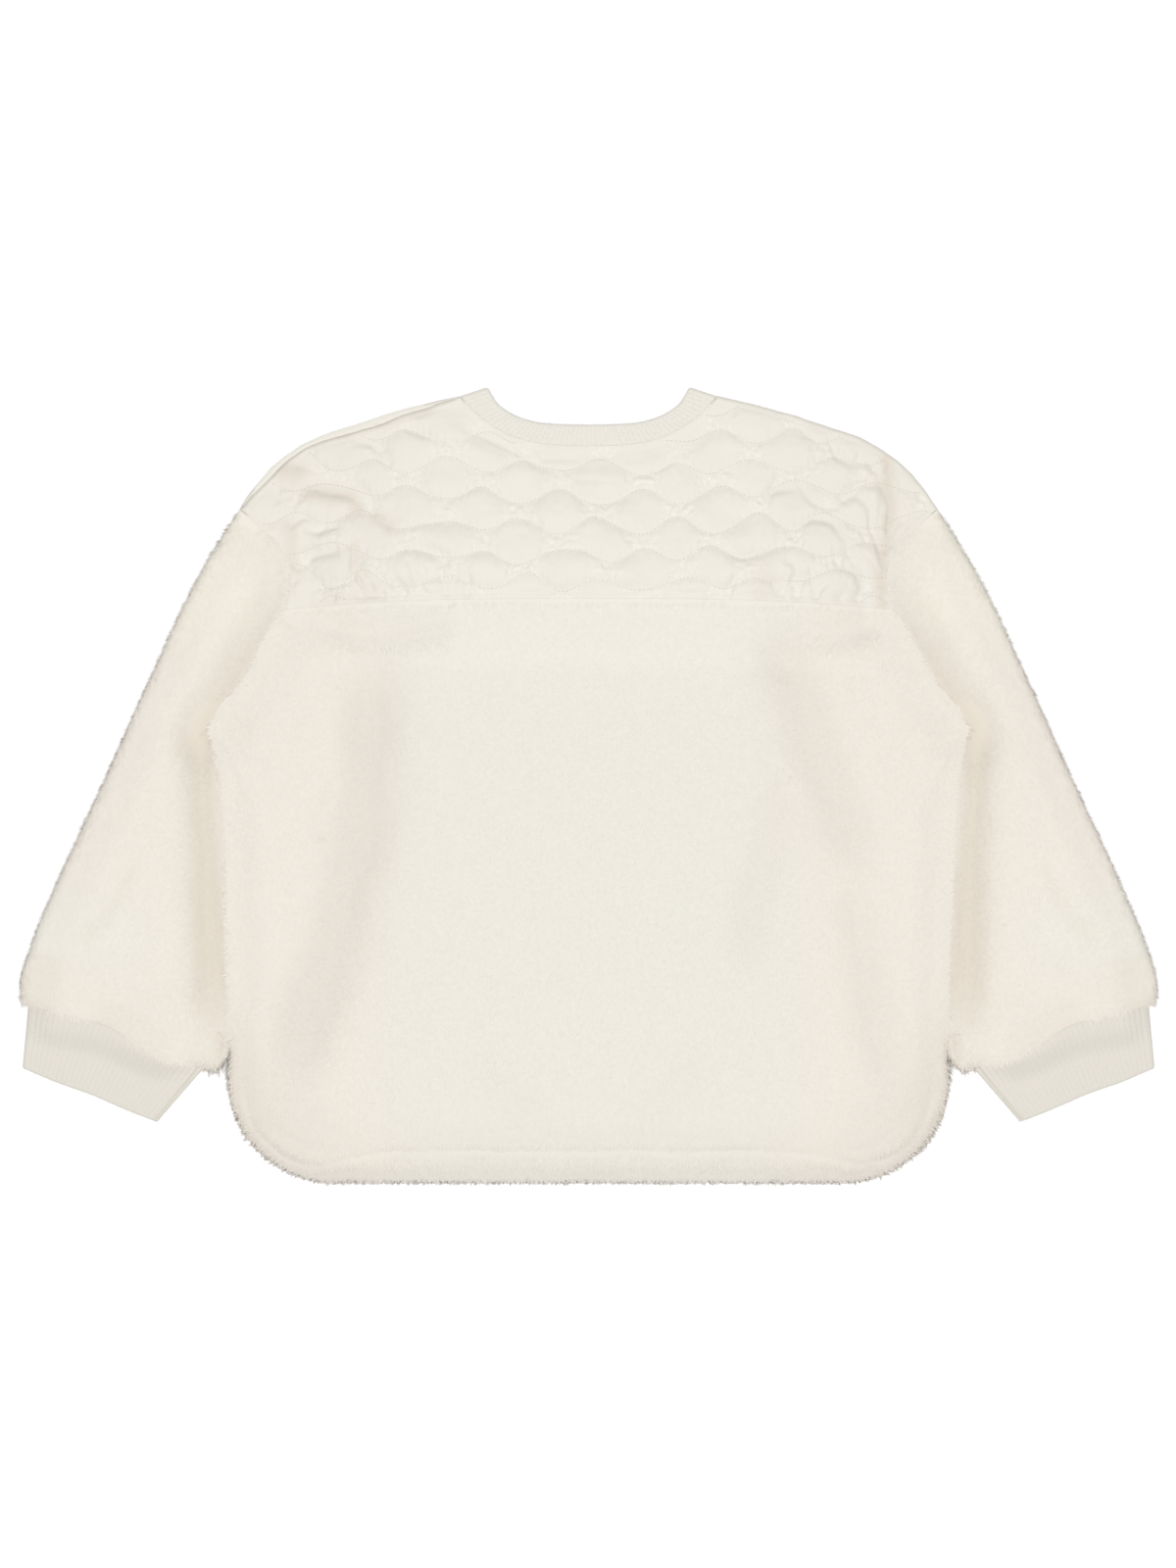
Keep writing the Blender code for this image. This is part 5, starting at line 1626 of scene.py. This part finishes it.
def fleece_colour(tree, where):
    """Cream, warmer at the sides and mottled, with painted light in some places and painted shade
    in the folds.
    """
    y = coordinate(tree, where, "Y")
    colour = blended(tree, side_share(tree, where, near=0.12, far=0.20), FLEECE, FLEECE_WARM)
    mottled = ranged(tree, speckle(tree, where, scale=60.0, detail=3.0), low=0.45, high=6.0)
    colour = blended(tree, mottled, colour, FLEECE_DEEP)
    # painted light in each of those places
    for from_y, to_y, across, light in PAINTED_LIGHT_PLACES:
        share = side_share(tree, where, *across)
        for limits in (from_y, to_y):
            share = maths(tree, "MULTIPLY", share, ranged(tree, y, *limits))
        colour = blended(tree, share, colour, light)
    # painted shade, browner on the sleeves than on the body
    on_sleeve = side_share(tree, where, near=0.22, far=0.29)
    tint = blended(tree, on_sleeve, FLEECE_SHADE, SLEEVE_SHADE)
    return blended(tree, attribute(tree, "shade"), colour, tint)


def fleece_backing():
    """The ground of the pile fleece, which shows dimly between the locks."""
    material, tree = shader("fleece_backing", roughness=0.95, sheen=0.3)
    where = position(tree)
    curls = speckle(tree, where, scale=420.0, detail=5.0)
    curled = bump(tree, strength=0.15, depth=0.0005, height=curls)
    paint(tree, fleece_colour(tree, where), curled)
    return material


def fleece_pile():
    """The locks, each a little lighter or darker than the next."""
    material, tree = shader("fleece_pile", roughness=0.95, sheen=0.3)
    share = ranged(tree, attribute(tree, "tone"), low=0.0, high=9.0)
    paint(tree, blended(tree, share, fleece_colour(tree, position(tree)), FLEECE_DEEP))
    return material


def quilted_cloth():
    """Smooth woven cloth over the wadding, with a painted highlight for its sheen where it is
    crumpled, and painted shade where it is creased.
    """
    material, tree = shader("quilted_cloth", roughness=0.7, sheen=0.15)
    where = position(tree)
    patches = ranged(tree, speckle(tree, where, scale=45.0, detail=4.0), low=0.5, high=1.3)
    specks = ranged(tree, speckle(tree, where, scale=330.0), low=0.48, high=0.62)
    # painted highlight where the cloth is crumpled, in specks
    light = maths(tree, "MULTIPLY", attribute(tree, "light"), specks)
    colour = blended(tree, light, blended(tree, patches, YOKE, YOKE_DEEP), YOKE_PAINTED_HIGHLIGHT)
    colour = blended(tree, attribute(tree, "shade"), colour, YOKE_SHADE)
    threads = []
    for axis in ("X", "Y"):
        turn = maths(tree, "MULTIPLY", coordinate(tree, where, axis), 2 * np.pi / THREAD_PITCH)
        threads.append(maths(tree, "SINE", turn))
    crossed = maths(tree, "MULTIPLY", *threads)
    weave = bump(tree, strength=0.12, depth=0.00012, height=crossed)
    wrinkles = speckle(tree, where, scale=150.0, detail=3.0)
    paint(tree, colour, bump(tree, strength=0.35, depth=0.0012, height=wrinkles, under=weave))
    return material


def rib_knit(name, colour):
    """Rib knit, whose stitches show as fine speckles along the ribs."""
    material, tree = shader(name, roughness=0.85, sheen=0.2)
    stitches = speckle(tree, position(tree), scale=700.0)
    colour = blended(tree, ranged(tree, stitches, low=0.45, high=1.2), colour, RIB_DEEP)
    paint(tree, colour, bump(tree, strength=0.3, depth=0.0004, height=stitches))
    return material


def plain(name, colour, roughness):
    """One colour with a faint grain."""
    material, tree = shader(name, roughness, sheen=0.0)
    share = ranged(tree, speckle(tree, position(tree), scale=300.0), low=0.3, high=2.5)
    paint(tree, blended(tree, share, colour, tuple(0.9 * c for c in colour)))
    return material


# The view

def make_camera():
    camera = bpy.data.cameras.new("camera")
    camera.sensor_width = SENSOR
    camera.lens = SENSOR * (CAMERA_HEIGHT - OUTLINE_HEIGHT) / FRAME_HEIGHT
    camera.clip_end = 50.0
    made = linked("camera", camera)
    made.location = (*FRAME_CENTRE, CAMERA_HEIGHT)
    bpy.context.scene.camera = made


def make_light(name, place, size, power):
    light = bpy.data.lights.new(name, "AREA")
    light.shape = "SQUARE"
    light.size = size
    light.energy = power
    made = linked(name, light)
    made.location = place
    made.rotation_euler = (-Vector(place)).to_track_quat("-Z", "Y").to_euler()


def make_studio():
    world = bpy.data.worlds.new("studio")
    world.use_nodes = True
    background = world.node_tree.nodes["Background"]
    background.inputs["Color"].default_value = (1.0, 1.0, 1.0, 1.0)
    background.inputs["Strength"].default_value = SKY_STRENGTH
    bpy.context.scene.world = world
    bpy.context.scene.view_settings.view_transform = "Standard"
    for light in LIGHTS:
        make_light(*light)
    mesh = bpy.data.meshes.new("floor")
    corners = [(-1, -1), (1, -1), (1, 1), (-1, 1)]
    points = [(x * FLOOR_HALF, y * FLOOR_HALF, -FLOOR_GAP) for x, y in corners]
    mesh.from_pydata(points, [], [(0, 1, 2, 3)])
    mesh.materials.append(plain("floor_paint", FLOOR, roughness=0.9))
    floor = linked("floor", mesh)


# The whole garment

def make_body(fleece, locks):
    """Both panels of the body, with their pile."""
    body = Body()
    back = make_back_body(body, fleece)
    front = make_front_body(body, fleece)
    beside = [line[line[:, 1] > SLEEVE_LEFT_Y + BESIDE_FROM] for line in body.free]
    _, *armholes = body.seams

    def off_seams(at):
        return distance(at[:, :2], *beside, *body.seams) > OFF_SEAM

    def on_back(at, normal):
        return (normal[:, 2] > LEAST_FACING) & off_seams(at)

    def beside_sleeves(at, normal):
        near = near_line(at[:, :2], beside + armholes)
        return near & off_seams(at) & (normal[:, 2] > FRINGE_FACING)

    def on_front_edge(at, normal):
        near = distance(at[:, :2], *body.free) < FRONT_EDGE_REACH
        return near & (at[:, 2] < PILE_WALL) & (normal[:, 2] < 0.5)

    def down(at):
        near_full, near_fade = BODY_OUT_REACH
        side_from, side_fade = BODY_OUT_X
        near = 1 - eased((distance(at[:, :2], *body.free) - near_full) / near_fade)
        outward = np.sign(at[:, 0]) * near * eased((np.abs(at[:, 0]) - side_from) / side_fade)
        return combed(outward, BODY_DOWN)

    def out(at):
        return combed(np.sign(at[:, 0]), BODY_FRINGE_DOWN)

    # painted shade on the back of the body, none on its front
    add_values(back.data, "shade", body_shade(read(back.data, "co")))
    add_values(front.data, "shade", unshaded(front.data.vertices))
    pile = make_pile("back_body_pile", back, on_back, down, 1, locks, body_shade)
    fringe = make_pile(
        "back_body_fringe", back, beside_sleeves, out, 3, locks, body_shade, copies=5, spread=1.3)
    edge = make_pile("front_body_pile", front, on_front_edge, down, 2, locks, unshaded)


def make_yokes(cloth, thread):
    """Both yokes, and the stitches of the quilted one."""
    quilt, outline, top = make_back_yoke(cloth)
    at = read(quilt.data, "co")
    # painted shade where the cloth is creased, and a painted highlight for its sheen where it is
    # crumpled
    add_values(quilt.data, "shade", yoke_shade(at))
    add_values(quilt.data, "light", quilt_relief(at[:, :2])[1])
    under, under_outline = make_front_yoke(cloth)
    stitches = make_quilt_stitches(outline, top, thread)


def make_sleeve_piles(name, side, sleeve, look):
    armhole, inner, seam, _ = sleeve_lines()
    upper, _ = armhole_parts()

    def flat(at):
        return at[:, :2] * (side, 1.0)

    def along_sleeve(at):
        full, fade = SLEEVE_OUT_REACH
        outward, more = SLEEVE_OUT
        beside = 1 - eased((distance(flat(at), armhole) - full) / fade)
        low = at[:, 1] < ARM_LIFT_Y[1] - SLEEVE_OUT_BELOW
        return combed(side * (outward + more * beside * low), SLEEVE_DOWN)

    def over_seams(at):
        full, fade = SLEEVE_FRINGE_REACH
        lower = eased((distance(flat(at), seam) - full) / fade)
        return combed(-side * lower, SLEEVE_FRINGE_DOWN)

    def on_sleeve(at, normal):
        pressed = distance(flat(at), inner) < PRESSED_REACH
        pressed = pressed & (at[:, 1] > SLEEVE_LEFT_Y + PRESSED_FROM)
        facing = normal[:, 2] > np.where(pressed, PRESSED_FACING, SLEEVE_FACING)
        off_seams = distance(flat(at), armhole, seam) > OFF_SEAM
        return facing & sleeve_outside(at) & off_seams

    def beside_seams(at, normal):
        near = near_line(flat(at), [upper, seam]) & (distance(flat(at), armhole) > OFF_SEAM)
        facing = normal[:, 2] > FRINGE_FACING
        return near & facing & sleeve_outside(at) & (at[:, 2] > PILE_WALL)

    # half as much painted shade on the fringe
    def half_shade(at):
        return 0.5 * sleeve_shade(at)

    pile = make_pile(
        f"{name}_sleeve_pile", sleeve, on_sleeve, along_sleeve, 10 + side, look, sleeve_shade)
    fringe = make_pile(
        f"{name}_sleeve_fringe", sleeve, beside_seams, over_seams, 20 + side, look, half_shade,
        copies=3, spread=1.6, stand=0.03)
    return [pile, fringe]


def sleeve_outside(at):
    """Which points of a sleeve are on its outside, and so carry pile."""
    flat = at[:, :2] * (np.sign(at[:, 0].mean()), 1.0)
    _, inner, _, outer = sleeve_lines()
    return (at[:, 2] > PILE_WALL * 1.2) | (distance(flat, inner, outer) < 0.003)


def make_arm(name, side, fleece, locks, knit):
    """A sleeve with its pile, and its cuff."""
    sleeve = make_sleeve(name, side, fleece)
    # painted shade in the folds of the sleeve
    add_values(sleeve.data, "shade", sleeve_shade(read(sleeve.data, "co")))
    piles = make_sleeve_piles(name, side, sleeve, locks)
    ring(*sleeve_lines())
    cuff = make_cuff(name, side, knit)


def main():
    make_camera()
    make_studio()
    fleece = (fleece_backing(), "pile_fleece")
    locks = (fleece_pile(), "pile_fleece")
    cloth = (quilted_cloth(), "quilted_cloth")
    knit = (rib_knit("rib_knit", RIB), "rib_knit")
    # a darker copy of the rib knit for the cuffs: painted shade
    cuff_knit_painted_shade = (rib_knit("cuff_knit_painted_shade", CUFF_RIB), "rib_knit")
    thread = (plain("thread", THREAD, roughness=0.6), "quilted_cloth")

    make_body(fleece, locks)
    make_yokes(cloth, thread)
    band = make_neckband(knit)
    for name, side in (("left", -1), ("right", 1)):
        make_arm(name, side, fleece, locks, cuff_knit_painted_shade)


main()
